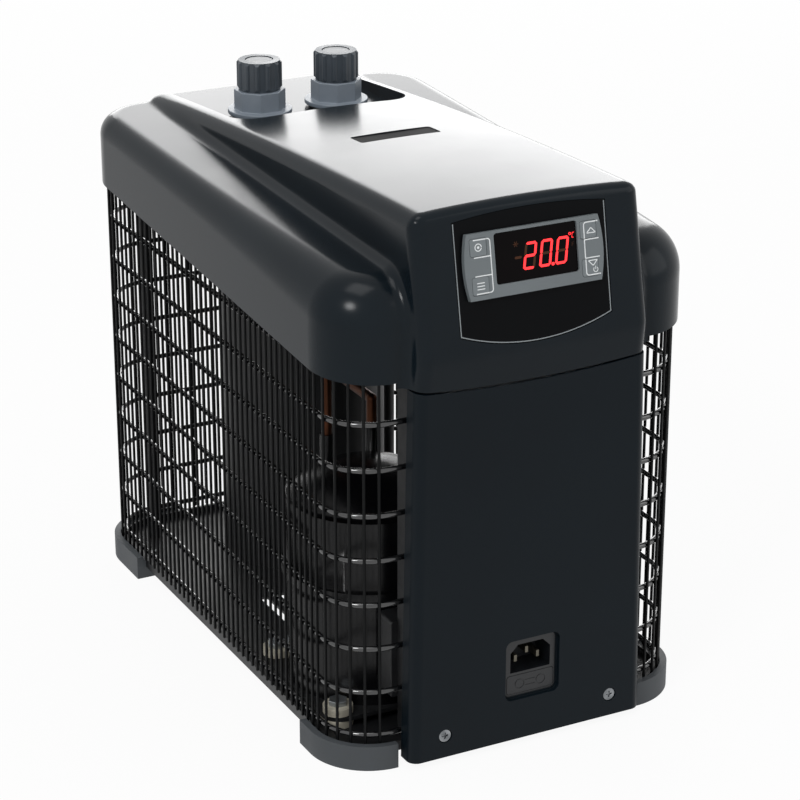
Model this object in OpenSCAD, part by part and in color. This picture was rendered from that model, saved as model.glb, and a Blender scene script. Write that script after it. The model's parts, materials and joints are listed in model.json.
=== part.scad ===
// Aquarium chiller: a wire-caged refrigerator for tank water.
// Millimetres, +Z up, front towards -Y, origin on the floor under the middle.

/* [Case] */
// Width over the wire cage
cage_w = 215.6; // [200:0.2:250]
// Depth over the wire cage
cage_d = 343.5; // [320:0.5:400]
// Plan radius of the cage's outer corners
cage_corner_r = 31.5; // [24:0.5:38]
// How far the front panel's face stands before the cage
panel_proud = 13.2; // [9:0.1:18]
// How far the hood's nose stands before the panel's face
nose_proud = 2.7; // [1:0.1:5]
// Height of the seam between panel and hood, at its ends
seam_h = 219.7; // [205:0.1:235]
// Rise of the hood's top over the seam, at its front edge
hood_front_rise = 91.1; // [76:0.1:105]
// Rise of the hood's top over the seam, at its rear edge
hood_rear_rise = 72.7; // [72:0.1:80]

/* [Hood] */
// Wall of the hood
hood_wall = 2.6; // [2:0.1:3.5]
// How far the skirt hangs out beyond the cage
hood_overhang = 2.5; // [1.5:0.1:4]
// Rise of the skirt's edge over the seam, at the front
skirt_front_rise = 3.5; // [2:0.1:8]
// Rise of the skirt's edge over the seam, at the rear
skirt_rear_rise = 30.3; // [20:0.1:34]
// Rise of the shoulders' top over the seam, at the front
shoulder_front_rise = 56.3; // [46:0.1:64]
// Rise of the shoulders' top over the seam, at the rear
shoulder_rear_rise = 69.9; // [60:0.1:71]
// Edge radius of the shoulders at the front
shoulder_front_r = 25; // [16:0.5:30]
// Edge radius of the shoulders at the rear
shoulder_rear_r = 16; // [10:0.5:22]
// Edge radius of the raised spine
spine_edge_r = 6.5; // [4:0.5:9]
// Rise of the nose, where the face starts to lean, over the seam
nose_rise = 16.3; // [10:0.1:22]
// Lean of the face, in degrees
face_lean = 10.5; // [6:0.5:15]
// Rise of the top's middle over its ends
top_bulge = 3.2; // [1:0.1:6]
// Rise of the top's middle over its sides
top_crown = 2; // [0.5:0.1:4]
// Drop of the seam at its middle
seam_drop = 3.4; // [1:0.1:5]
// Gap of the seam between panel and hood
seam_gap = 1.2; // [0.8:0.1:2]

/* [Rear recess] */
// Share of the cage's width that the recess for the hose unions takes
recess_share = 0.52876; // [0.48:0.00001:0.55]
// Length of the recess, from the hood's rear edge
recess_len = 116; // [100:0.5:130]
// Rise of the recess floor over the seam
recess_floor_rise = 71.3; // [70:0.1:72]
// Radius of the recess's front corners
recess_r = 18; // [10:0.5:24]

/* [Hose unions] */
// Distance between the two unions
union_pitch = 50.6; // [46:0.1:60]
// Distance of the unions from the hood's rear edge
union_inset = 72.5; // [64:0.5:84]
// Flange diameter of the union body
flange_d = 38.4; // [34:0.1:42]
// Across flats of the octagon
octagon_af = 28.5; // [26:0.1:31]
// Height of the octagon
octagon_h = 11.8; // [8:0.1:15]
// Outer diameter of the ribbed nut
nut_d = 27; // [26:0.1:30]
// Height of the ribbed nut
nut_h = 17.6; // [15:0.1:22]
// Diameter of the threaded neck under the nut
neck_d = 21.2; // [19:0.1:22]
// Bore of the union
union_bore_d = 13; // [10:0.1:15]
// Diameter of the light disc in the nut's mouth
disc_d = 16.4; // [15:0.1:18]

/* [Controller] */
// Width of the bezel
bezel_w = 78; // [72:0.5:84]
// Height of the bezel
bezel_h = 34.6; // [32:0.1:37]
// Thickness of the bezel
bezel_t = 2.8; // [2:0.1:4]
// Width of the housing behind the bezel
housing_w = 70.6; // [66:0.1:71]
// Height of the housing
housing_h = 28.6; // [26:0.1:29.5]
// Depth of the housing
housing_depth = 56; // [45:1:65]
// Width of the display window
window_w = 49; // [44:0.1:50]
// Height of the display window
window_h = 26.6; // [22:0.1:27]
// Width of a key
key_w = 9.6; // [8:0.1:10]
// Height of a key
key_h = 9.2; // [7:0.1:10]
// Travel of a key
key_travel = 0.6; // [0.3:0.1:1]

/* [Front panel] */
// How far the panel's sides stand in from the cage's sides
panel_side_in = 34.8; // [33:0.1:38]
// Inward lean of the panel's and hood's sides, in degrees
side_taper = 0.96; // [0:0.01:1.2]
// Height of the panel's lower edge
panel_low_h = 4.5; // [3:0.1:8]
// Wall of the panel
panel_wall = 2.5; // [2:0.1:3.5]
// Radius of the panel's upright edges
panel_edge_r = 6; // [4:0.5:8]
// How far the panel's screws stand in from its sides
panel_screw_in = 21; // [17:0.5:27]
// Height of the panel's screws
panel_screw_h = 17.4; // [15:0.1:20]
// Offset of the inlet's middle to the right
inlet_x = 1.9; // [-5:0.1:5]
// Height of the inlet's middle
inlet_h = 46.8; // [42:0.1:60]
// Width of the inlet's recess
inlet_recess_w = 33.6; // [33:0.1:38]
// Height of the inlet's recess
inlet_recess_h = 36.2; // [36:0.1:42]
// Depth of the inlet's recess
inlet_recess_depth = 6.4; // [5:0.1:8]

/* [Mains inlet] */
// Width of the connector cavity
cavity_w = 24.8; // [24.5:0.1:26]
// Height of the connector cavity
cavity_h = 16.6; // [16:0.1:17]
// Depth of the connector cavity
cavity_depth = 16; // [14:0.5:18]

/* [Cage] */
// Diameter of the horizontal rods
rod_d = 3.2; // [2.4:0.1:4]
// Diameter of the upright wires
wire_d = 1.7; // [1.3:0.1:2]
// Height of the lowest rod
rod_first_h = 18.4; // [17:0.1:22]
// How far the highest rod stands over the skirt's rear edge
rod_top_over = 1.14; // [0.5:0.01:2]
// Number of rods
rod_count = 10; // [9:1:10]
// Distance between the wires on the sides
side_wire_pitch = 6.6; // [5.5:0.1:9]
// Distance between the wires at the ends and in the corners
end_wire_pitch = 7.4; // [6:0.1:10]

/* [Base] */
// Height of the corner feet
foot_h = 14.5; // [12:0.5:18]
// How far the feet stand out beyond the cage
foot_proud = 4.2; // [3:0.1:6]
// Length of the feet along the sides, at the front
foot_front_len = 45; // [40:1:60]
// Length of the feet along the sides, at the rear
foot_rear_len = 62.5; // [50:0.5:80]
// Height of the tray's underside
tray_h = 6.7; // [5:0.1:8]
// Thickness of the tray
tray_t = 1.8; // [1.2:0.1:2.5]

/* [Cooling circuit] */
// Share of the cage's width that the compressor's can takes
can_share = 0.436; // [0.4:0.001:0.45]
// Height of the compressor's can
can_h = 128; // [110:1:150]
// Diameter of the fan's blades
fan_d = 124; // [100:1:130]
// Length of the condenser
condenser_len = 138; // [120:1:142]
// Height of the condenser
condenser_h = 176; // [150:1:186]
// Depth of the condenser
condenser_t = 26; // [20:0.5:28]
// Number of passes of the condenser tube
pass_count = 8; // [6:2:8]
// Number of condenser fins
fin_count = 27; // [15:1:32]
// Diameter of the water tank
tank_d = 102; // [90:1:106]
// How far the tank's rim stands under the seam
tank_seam_gap = 15.2; // [8:0.1:50]
// Wall of the water tank
tank_wall = 3; // [2:0.1:4]
// Diameter of the refrigerant lines
line_d = 6; // [5:0.1:7]

/* [Hidden] */
rod_black = [0.04, 0.04, 0.05];

$fn = 64;
hull_fn = 32;

// Overrun of every cut
over = 1;
// Thickness of the slices that a hull spans
slice = 0.1;
// A pipe's brazed bends stand out by this much
bend_swell = 0.3;
// Clearance of pieces that slide or turn in one another
run_clear = 0.2;
// Clearance of pieces that are fitted into one another
fit_clear = 0.1;
// Clearance at rest between pieces that only stop against each other
rest_gap = 0.2;
// Corner radius of small moulded pieces
small_r = 1.5;
// Chords along each half of the bowed seam
seam_steps = 12;

// Places along the depth
total_d = nose_proud + panel_proud + cage_d + foot_proud;
nose_y = -total_d / 2;
panel_face_y = nose_y + nose_proud;
cage_front_y = panel_face_y + panel_proud;
cage_rear_y = cage_front_y + cage_d;
cage_mid_y = (cage_front_y + cage_rear_y) / 2;
cage_half_w = cage_w / 2;
panel_half_w = cage_half_w - panel_side_in;
panel_screw_x = panel_half_w - panel_screw_in;
recess_half_w = cage_half_w * recess_share;
can_d = cage_w * can_share;
hood_half_w = cage_half_w + hood_overhang;
hood_front_y = cage_front_y - hood_overhang;
hood_rear_set = 0.4;
hood_rear_y = cage_rear_y + hood_overhang - hood_rear_set;
hood_corner_r = cage_corner_r + hood_overhang;

// Heights that follow the seam's
hood_front_h = seam_h + hood_front_rise;
hood_rear_h = seam_h + hood_rear_rise;
skirt_front_h = seam_h + skirt_front_rise;
skirt_rear_h = seam_h + skirt_rear_rise;
shoulder_front_h = seam_h + shoulder_front_rise;
shoulder_rear_h = seam_h + shoulder_rear_rise;
nose_h = seam_h + nose_rise;
recess_floor_h = seam_h + recess_floor_rise;

// Heights over the tray
tray_top_h = tray_h + tray_t;
tray_rim_h = 12.5;
tray_inset = 2.1;
wire_low_h = tray_rim_h + rest_gap;

// Cage
weld = 0.3;
rod_inset = wire_d + rod_d / 2 - weld;
rod_pitch = (skirt_rear_h + rod_top_over - rod_first_h) / (rod_count - 1);
wire_inset = wire_d / 2;
wire_tip = 0.5;
wire_top_over = 5;
wire_top_h = skirt_rear_h + wire_top_over;
straight_side = cage_d - 2 * cage_corner_r;
straight_end = cage_w - 2 * cage_corner_r;

// Rounded rectangle in the plane, with true arcs
module round_rect(w, d, r) {
  square([w - 2 * r, d], center = true);
  square([w, d - 2 * r], center = true);
  for (x = [-1, 1], y = [-1, 1])
    translate([x * (w / 2 - r), y * (d / 2 - r)]) circle(r);
}

// Round bar from one point to another
module bar(a, b, d) {
  v = b - a;
  len = norm(v);
  translate(a) rotate([0, acos(v.z / len), atan2(v.y, v.x)]) cylinder(h = len, d = d);
}

// Pipe along a list of points, with round bends and flat ends
module pipe(points, d) {
  last = len(points) - 1;
  for (i = [0 : last - 1]) bar(points[i], points[i + 1], d);
  for (i = [1 : last - 1]) translate(points[i]) sphere(d = d + bend_swell);
}

// The same piece on the right and, mirrored, on the left
module both() {
  children();
  mirror([1, 0, 0]) children();
}

// Straight bore through a wall that stands on the plane
module bore(h, d) {
  translate([0, 0, -over]) cylinder(h = h + 2 * over, d = d);
}

// Box between two corners
module span(low, high) {
  translate(low) cube(high - low);
}

// Base

module base_tray() {
  color([0.05, 0.05, 0.06]) difference() {
    translate([0, cage_mid_y, tray_h]) tray_outline(tray_inset, tray_rim_h - tray_h);
    translate([0, cage_mid_y, tray_top_h])
      tray_outline(tray_inset + tray_t, tray_rim_h);
    for (i = [-slot_half_count : slot_half_count])
      translate([i * slot_pitch, slot_y, tray_h - over])
        linear_extrude(tray_t + 2 * over) round_rect(slot_w, slot_len, slot_r);
    for (p = concat(foot_screw_places, [[-post_x, post_y], [post_x, post_y]]))
      translate([p.x, p.y, tray_h - over]) cylinder(h = tray_t + 2 * over, d = screw_hole_d);
  }
}

slot_half_count = 5;
slot_pitch = 12;
slot_w = 5;
slot_r = 2.2;
slot_len = 60;
slot_y = 10;
screw_d = 3.6;
screw_hole_d = 4;
screw_head_d = 7.4;
screw_head_t = 2.4;

module tray_outline(inset, h) {
  linear_extrude(h) round_rect(cage_w - 2 * inset, cage_d - 2 * inset, cage_corner_r - inset);
}

// Feet wrap the tray's corners and carry it on their inner ledge
foot_ledge = 17;
foot_gap = 0.3;
foot_panel_gap = 3;
foot_front_end_x = panel_half_w + foot_panel_gap;
foot_rear_in = 49.8;
foot_rear_end_x = cage_half_w - foot_rear_in;
foot_screw_in = 13;

foot_screw_places = [
  for (sx = [-1, 1], sy = [-1, 1])
    [
      sx * (cage_half_w - foot_screw_in),
      sy > 0 ? cage_rear_y - foot_rear_len + foot_screw_in
         : cage_front_y + foot_front_len - foot_screw_in
    ]
];

module foot_ring(inset_in, low, high) {
  translate([0, cage_mid_y, low]) linear_extrude(high - low) difference() {
    round_rect(cage_w + 2 * foot_proud, cage_d + 2 * foot_proud, cage_corner_r + foot_proud);
    round_rect(cage_w - 2 * inset_in, cage_d - 2 * inset_in, cage_corner_r - inset_in);
  }
}

module foot(sx, sy) {
  len_y = sy > 0 ? foot_rear_len : foot_front_len;
  end_x = sy > 0 ? foot_rear_end_x : foot_front_end_x;
  far_x = cage_half_w + foot_proud + over;
  edge_y = sy > 0 ? cage_rear_y : cage_front_y;
  near_y = edge_y - sy * len_y;
  far_y = edge_y + sy * (foot_proud + over);
  color([0.27, 0.28, 0.3]) difference() {
    intersection() {
      union() {
        foot_ring(foot_ledge, 0, tray_h);
        foot_ring(tray_inset - foot_gap, tray_h, tray_rim_h);
        foot_ring(-rest_gap, tray_rim_h, foot_h);
      }
      span(
        [min(sx * end_x, sx * far_x), min(near_y, far_y), -over],
        [max(sx * end_x, sx * far_x), max(near_y, far_y), foot_h + over]
      );
    }
    for (p = foot_screw_places) translate([p.x, p.y, 0]) {
      bore(tray_h, screw_hole_d);
      translate([0, 0, -over]) cylinder(h = foot_well + over, d = foot_well_d);
    }
  }
}

foot_well = 3.6;
foot_well_d = 9;

module foot_front_left() foot(-1, -1);
module foot_front_right() foot(1, -1);
module foot_rear_left() foot(-1, 1);
module foot_rear_right() foot(1, 1);

// Pan-head screw that points up, its head's top on the plane it stands under
module screw_up(len) {
  translate([0, 0, -screw_head_t]) cylinder(h = screw_head_t, d = screw_head_d);
  cylinder(h = len, d = screw_d);
}

foot_screw_out = 2.5;
foot_screw_len = tray_top_h - foot_well + foot_screw_out;

module frame_screws() {
  color([0.6, 0.6, 0.62]) {
    for (p = foot_screw_places) translate([p.x, p.y, foot_well]) screw_up(foot_screw_len);
    for (s = [-1, 1])
      translate([s * post_x, post_y, tray_h]) screw_up(post_screw_len);
  }
}

// Frame that carries the panel, the hood and the cage's ends
frame_sheet = 1.5;
frame_panel_gap = 7;
frame_outer_x = panel_half_w - frame_panel_gap;
frame_leg = 16;
frame_set = 0.4;
frame_front_y = cage_front_y + frame_set;
hood_boss_rise = 20.3;
hood_boss_low_h = seam_h + hood_boss_rise;
frame_top_h = hood_boss_low_h;
frame_rail_h = 14;
boss_d = 12;
boss_x = frame_outer_x - frame_leg / 2;
boss_y = frame_front_y + frame_leg / 2;

module front_frame() {
  inner_x = frame_outer_x - frame_leg;
  sheet_y = frame_front_y + frame_sheet;
  leg_y = frame_front_y + frame_leg;
  color([0.32, 0.33, 0.35]) difference() {
    union() {
      both() {
        span([inner_x, frame_front_y, tray_top_h], [frame_outer_x, sheet_y, frame_top_h]);
        span(
          [frame_outer_x - frame_sheet, frame_front_y, tray_rim_h + rest_gap],
          [frame_outer_x, leg_y, frame_top_h]
        );
        span(
          [inner_x, frame_front_y, frame_top_h - frame_sheet],
          [frame_outer_x, leg_y, frame_top_h]
        );
      }
      for (low = [tray_top_h, board_low_h + frame_rail_h, board_low_h + board_h]) span(
        [-frame_outer_x, frame_front_y, low],
        [frame_outer_x, sheet_y, low + frame_rail_h]
      );
    }
    for (s = [-1, 1]) translate([s * panel_screw_x, frame_front_y - over, panel_screw_h])
      rotate([-90, 0, 0]) cylinder(h = frame_sheet + 2 * over, d = screw_d);
  }
}

// Posts at the rear carry the hood
post_d = 8;
post_side_in = 23.8;
post_x = cage_half_w - post_side_in;
post_inset = 24;
post_y = cage_rear_y - post_inset;
post_low_h = tray_top_h;
post_screw_in = 8;
post_screw_len = tray_t + post_screw_in;

module rear_posts() {
  color([0.55, 0.56, 0.58]) for (s = [-1, 1]) translate([s * post_x, post_y, post_low_h])
    difference() {
      cylinder(h = hood_boss_low_h - post_low_h, d = post_d);
      translate([0, 0, -over]) cylinder(h = post_screw_len, d = screw_d);
    }
}

// Cage

rod_half_w = cage_half_w - rod_inset;
rod_corner_r = cage_corner_r - rod_inset;
corner_x = cage_half_w - cage_corner_r;
corner_front_y = cage_front_y + cage_corner_r;
corner_rear_y = cage_rear_y - cage_corner_r;

module rod_bend(from_angle) {
  rotate([0, 0, from_angle]) rotate_extrude(angle = 90)
    translate([rod_corner_r, 0]) circle(d = rod_d, $fn = 24);
}

// One side's rod, seen on the right: front end, corner, side, corner
module side_rod() {
  bar([frame_outer_x, cage_front_y + rod_inset, 0], [corner_x, cage_front_y + rod_inset, 0], rod_d);
  translate([corner_x, corner_front_y, 0]) rod_bend(-90);
  bar([rod_half_w, corner_front_y, 0], [rod_half_w, corner_rear_y, 0], rod_d);
  translate([corner_x, corner_rear_y, 0]) rod_bend(0);
}

module side_rods() {
  for (i = [0 : rod_count - 1]) translate([0, 0, rod_first_h + i * rod_pitch]) side_rod();
}

module grille_right_rods() color(rod_black) side_rods();
module grille_left_rods() color(rod_black) mirror([1, 0, 0]) side_rods();
module grille_rear_rods() {
  color(rod_black) for (i = [0 : rod_count - 1])
    translate([0, 0, rod_first_h + i * rod_pitch])
      bar([-corner_x, cage_rear_y - rod_inset, 0], [corner_x, cage_rear_y - rod_inset, 0], rod_d);
}

wire_tip_share = 0.5;

module wire() {
  r = wire_d / 2;
  translate([0, 0, wire_low_h]) rotate_extrude($fn = 24) polygon([
    [0, 0], [r * wire_tip_share, 0], [r, wire_tip],
    [r, wire_top_h - wire_low_h], [0, wire_top_h - wire_low_h]
  ]);
}

side_wire_count = floor(straight_side / side_wire_pitch);
end_wire_count = floor(straight_end / end_wire_pitch);
corner_arc = 90 * PI / 180 * (cage_corner_r - wire_inset);
corner_wire_count = floor(corner_arc / end_wire_pitch);

module corner_wires(from_angle) {
  for (i = [1 : corner_wire_count - 1])
    rotate([0, 0, from_angle + 90 * i / corner_wire_count])
      translate([cage_corner_r - wire_inset, 0, 0]) wire();
}

module side_wires() {
  for (i = [0 : side_wire_count])
    translate([
      cage_half_w - wire_inset,
      corner_front_y + i * straight_side / side_wire_count,
      0
    ]) wire();
  translate([corner_x, corner_front_y, 0]) corner_wires(-90);
  translate([corner_x, corner_rear_y, 0]) corner_wires(0);
}

module grille_right_wires() color(rod_black) side_wires();
module grille_left_wires() color(rod_black) mirror([1, 0, 0]) side_wires();
module grille_rear_wires() {
  color(rod_black) for (i = [0 : end_wire_count])
    translate([-corner_x + i * straight_end / end_wire_count, cage_rear_y - wire_inset, 0]) wire();
}

// Hood

hood_low_drop = 22;
hood_low_h = seam_h - hood_low_drop;
rear_draft = 4.5;
top_steps = 8;
edge_steps = 5;
crown_steps = 2;
front_edge_r = 3.5;
shoulder_plan_r = hood_corner_r;
spine_rear_y = hood_rear_y - rear_draft;

function face_y(h) = nose_y + (h - nose_h) * tan(face_lean);
function half_w_at(h) = panel_half_w - h * tan(side_taper);

// Side view of the spine, its top lifted by lift and its outline moved in by inset
module spine_profile(lift, inset) {
  front_h = hood_front_h + lift;
  front_y = face_y(front_h);
  rear_h = hood_rear_h + lift;
  offset(r = front_edge_r) offset(delta = -front_edge_r - inset) polygon(concat(
    [[panel_face_y, hood_low_h], [panel_face_y, seam_h], [nose_y, nose_h]],
    [
      for (i = [0 : top_steps])
        let (s = i / top_steps)
        [
          front_y + (spine_rear_y - front_y) * s,
          front_h + (rear_h - front_h) * s + 4 * top_bulge * s * (1 - s)
        ]
    ],
    [[hood_rear_y, skirt_front_h], [hood_rear_y, hood_low_h]]
  ));
}

// The spine as a convex body, shrunk on all sides by shrink
module spine_block(shrink) {
  edge_r = spine_edge_r - shrink;
  side_x = panel_half_w - shrink - edge_r;
  hull() for (side = [-1, 1]) {
    for (i = [0 : edge_steps]) {
      turn = 90 * i / edge_steps;
      translate([side * (side_x + edge_r * sin(turn)), 0, 0])
        rotate([0, -side * side_taper, 0]) rotate([90, 0, 90])
          linear_extrude(slice, center = true)
            spine_profile(0, shrink + edge_r * (1 - cos(turn)));
    }
    for (i = [0 : crown_steps - 1]) {
      share = i / crown_steps;
      translate([side * share * side_x, 0, 0]) rotate([90, 0, 90])
        linear_extrude(slice, center = true)
          spine_profile(top_crown * (1 - share * share), shrink);
    }
  }
}

module shoulder_corner(plan_r, edge_r, top_h) {
  translate([0, 0, hood_low_h]) cylinder(h = slice, r = plan_r, $fn = hull_fn);
  translate([0, 0, top_h - edge_r])
    rotate_extrude($fn = hull_fn) intersection() {
      translate([plan_r - edge_r, 0]) circle(edge_r, $fn = hull_fn);
      translate([0, -edge_r]) square([plan_r, 2 * edge_r]);
    }
}

// Both shoulders and the skirt as one convex body, shrunk by shrink
module shoulder_block(shrink) {
  plan_r = shoulder_plan_r - shrink;
  hull() for (sx = [-1, 1]) {
    translate([sx * (hood_half_w - shoulder_plan_r), hood_front_y + shoulder_plan_r, 0])
      shoulder_corner(plan_r, shoulder_front_r - shrink, shoulder_front_h - shrink);
    translate([sx * (hood_half_w - shoulder_plan_r), hood_rear_y - shoulder_plan_r, 0])
      shoulder_corner(plan_r, shoulder_rear_r - shrink, shoulder_rear_h - shrink);
  }
}

// The recess for the unions, grown by grow; its rear end is open
module recess_shape(grow) {
  front_y = hood_rear_y - recess_len;
  r = recess_r + grow;
  half_w = recess_half_w + grow;
  translate([0, 0, recess_floor_h - grow]) linear_extrude(hood_front_h) {
    for (s = [-1, 1]) translate([s * (half_w - r), front_y + recess_r]) circle(r);
    translate([-half_w + r, front_y - grow]) square([2 * (half_w - r), recess_len]);
    translate([-half_w, front_y + recess_r]) square([2 * half_w, recess_len + over]);
  }
}

// Everything under the skirt's edge, behind the nose
module under_skirt() {
  rotate([90, 0, 90]) translate([0, 0, -hood_half_w - over])
    linear_extrude(2 * (hood_half_w + over)) polygon([
      [hood_front_y - over, hood_low_h - over],
      [hood_front_y - over, skirt_front_h],
      [hood_front_y, skirt_front_h],
      [hood_rear_y, skirt_rear_h],
      [hood_rear_y + over, skirt_rear_h],
      [hood_rear_y + over, hood_low_h - over]
    ]);
}

// Room for the wires' tops inside the skirt
module wire_groove() {
  translate([0, cage_mid_y, skirt_front_h - over])
    linear_extrude(wire_top_h + rest_gap - skirt_front_h + over) difference() {
      round_rect(cage_w + 2 * rest_gap, cage_d + 2 * rest_gap, cage_corner_r + rest_gap);
      round_rect(cage_w - 2 * wire_d, cage_d - 2 * wire_d, cage_corner_r - wire_d);
    }
}

seam_half_w = half_w_at(seam_h);

// Front view of everything under the seam, lowered by down
module under_seam(down) {
  far_x = panel_half_w + over;
  polygon([
    [far_x, -over], [-far_x, -over],
    for (i = [-seam_steps : seam_steps]) let (x = i * far_x / seam_steps)
      [x, seam_h - down - seam_drop * (1 - pow(x / seam_half_w, 2))]
  ]);
}

module seam_slab(down, from_y, to_y) {
  translate([0, to_y, 0]) rotate([90, 0, 0]) linear_extrude(to_y - from_y) under_seam(down);
}

module on_face() {
  translate([0, nose_y, nose_h]) rotate([90 - face_lean, 0, 0]) children();
}

// Outline of the fascia plate, in the plane of the leaning face
plate_half_w = 45.4;
plate_low = 2;
plate_low_side = 10.4;
plate_top = 73;
plate_top_side = 70;
plate_low_drop = plate_low_side - plate_low;
plate_low_r = (plate_half_w * plate_half_w + plate_low_drop * plate_low_drop) / (2 * plate_low_drop);
plate_top_rise = plate_top - plate_top_side;
plate_top_r = (plate_half_w * plate_half_w + plate_top_rise * plate_top_rise) / (2 * plate_top_rise);
plate_t = 2.2;
plate_depth = 2.4;
plate_backing = 2.2;

module plate_outline(grow) {
  intersection() {
    translate([-plate_half_w - grow, plate_low - grow])
      square([2 * (plate_half_w + grow), plate_top - plate_low + 2 * grow]);
    translate([0, plate_low + plate_low_r]) circle(plate_low_r + grow, $fn = 180);
    translate([0, plate_top - plate_top_r]) circle(plate_top_r + grow, $fn = 180);
  }
}

bezel_mid = 46;
cutout_clear = 0.3;

module face_rect(w, h, r, low, high) {
  translate([0, bezel_mid, low]) linear_extrude(high - low) round_rect(w, h, r);
}

// Places of the unions and of the badge
union_y = hood_rear_y - union_inset;
union_x = union_pitch / 2;
stem_d = 20;
badge_w = 50;
badge_l = 15.5;
badge_y = -20;
badge_t = 1.6;
badge_r = 2;
badge_sink = 0.7;

function spine_top_h(y) =
  let (front_h = hood_front_h + top_crown, front_y = face_y(front_h))
  let (s = (y - front_y) / (spine_rear_y - front_y))
  front_h + (hood_rear_h + top_crown - front_h) * s + 4 * top_bulge * s * (1 - s);
badge_slope = atan((spine_top_h(badge_y + badge_l) - spine_top_h(badge_y - badge_l)) / (2 * badge_l));

module badge_shape(grow, low, high) {
  translate([0, badge_y, spine_top_h(badge_y)]) rotate([badge_slope, 0, 0])
    translate([0, 0, low]) linear_extrude(high - low)
      round_rect(badge_w + 2 * grow, badge_l + 2 * grow, badge_r + grow);
}

module hood_boss(x, y) {
  translate([x, y, hood_boss_low_h]) difference() {
    cylinder(h = boss_reach, d = boss_d);
    translate([0, 0, -over]) cylinder(h = boss_hole + over, d = screw_d);
  }
}

boss_hole = 14;
boss_reach = 90;
badge_floor = 1.6;
rib_w = 2;

module hood_solid() {
  shoulder_block(0);
  spine_block(0);
}

module hood_hollow() {
  difference() {
    union() {
      shoulder_block(hood_wall);
      spine_block(hood_wall);
    }
    recess_shape(hood_wall);
    on_face() translate([0, 0, -plate_depth - plate_backing])
      linear_extrude(plate_depth + plate_backing + over) plate_outline(hood_wall);
    badge_shape(hood_wall, -badge_t - badge_floor, over);
    for (s = [-1, 1]) {
      hood_boss(s * post_x, post_y);
      hood_boss(s * boss_x, boss_y);
    }
  }
}

module hood() {
  color([0.1, 0.11, 0.12]) difference() {
    hood_solid();
    hood_hollow();
    recess_shape(0);
    under_skirt();
    wire_groove();
    seam_slab(0, nose_y - over, hood_front_y);
    on_face() {
      translate([0, 0, -plate_depth]) linear_extrude(plate_depth + hood_wall)
        plate_outline(fit_clear);
      face_rect(
        housing_w + 2 * cutout_clear, housing_h + 2 * cutout_clear, small_r,
        -housing_depth, over
      );
    }
    badge_shape(fit_clear, -badge_t, 2 * over);
    for (s = [-1, 1]) translate([s * union_x, union_y, recess_floor_h - hood_wall - over])
      cylinder(h = hood_wall + 2 * over, d = stem_d + 2 * cutout_clear);
  }
}

module badge_plate() {
  color([0.05, 0.05, 0.06]) badge_shape(0, -badge_t, -badge_sink);
}

// Controller, in the plane of the leaning face: local Z points out of the case

plate_front = plate_t - plate_depth;
bezel_top = plate_front + bezel_t;
bezel_bow = 2.2;
window_x = 1.4;
window_up = 2.4;
window_sink = 1.2;
window_t = 1.2;
window_shelf = 1.2;
key_x = 32.6;
key_up = 10;
key_r = 1.2;
key_proud = 0.15;
key_t = 1.5;
housing_wall = 1.5;
board_t = 1.6;

module fascia_plate() {
  color([0.05, 0.05, 0.055]) on_face() difference() {
    translate([0, 0, -plate_depth]) linear_extrude(plate_t) plate_outline(0);
    face_rect(
      housing_w + 2 * cutout_clear, housing_h + 2 * cutout_clear, small_r,
      -plate_depth - over, over
    );
  }
}

// The bezel's sides bow outwards
module bezel_outline() {
  side_r = (bezel_h * bezel_h / 4 + bezel_bow * bezel_bow) / (2 * bezel_bow);
  intersection() {
    round_rect(bezel_w + 2 * bezel_bow, bezel_h, small_r);
    translate([bezel_w / 2 + bezel_bow - side_r, 0]) circle(side_r, $fn = 120);
    translate([-bezel_w / 2 - bezel_bow + side_r, 0]) circle(side_r, $fn = 120);
  }
}

function key_place(sx, sy) = [sx * key_x, sy * key_up];

module controller_bezel() {
  color([0.42, 0.44, 0.45]) on_face() translate([0, bezel_mid, 0]) difference() {
    translate([0, 0, plate_front]) linear_extrude(bezel_t) bezel_outline();
    translate([window_x, window_up, plate_front - over])
      linear_extrude(bezel_t + 2 * over)
        round_rect(window_w - 2 * window_shelf, window_h - 2 * window_shelf, small_r);
    translate([window_x, window_up, bezel_top - window_sink - window_t])
      linear_extrude(bezel_t)
        round_rect(window_w + 2 * fit_clear, window_h + 2 * fit_clear, small_r + fit_clear);
    for (sx = [-1, 1], sy = [-1, 1]) translate(key_place(sx, sy))
      translate([0, 0, bezel_top - key_t - key_travel - rest_gap])
        linear_extrude(bezel_t)
          round_rect(key_w + 2 * run_clear, key_h + 2 * run_clear, key_r + run_clear);
    for (sx = [-1, 1], sy = [-1, 1]) translate(key_place(sx, sy))
      translate([0, 0, plate_front - over]) cylinder(h = bezel_t, d = plunger_d + 2 * run_clear);
  }
}

plunger_d = 2;
plunger_len = 2.4;

module display_window() {
  color([0.06, 0.02, 0.02, 0.8]) on_face()
    translate([window_x, bezel_mid + window_up, bezel_top - window_sink - window_t])
      linear_extrude(window_t) round_rect(window_w, window_h, small_r);
}

module key(sx, sy) {
  color([0.45, 0.47, 0.48]) on_face() translate([0, bezel_mid, 0]) translate(key_place(sx, sy)) {
    translate([0, 0, bezel_top + key_proud - key_t]) linear_extrude(key_t)
      round_rect(key_w, key_h, key_r);
    translate([0, 0, bezel_top + key_proud - key_t - plunger_len])
      cylinder(h = plunger_len, d = plunger_d);
  }
}

module key_upper_left() key(-1, 1);
module key_lower_left() key(-1, -1);
module key_upper_right() key(1, 1);
module key_lower_right() key(1, -1);

// Housing: an open box, its mouth against the bezel's back
housing_front = plate_front;

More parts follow.
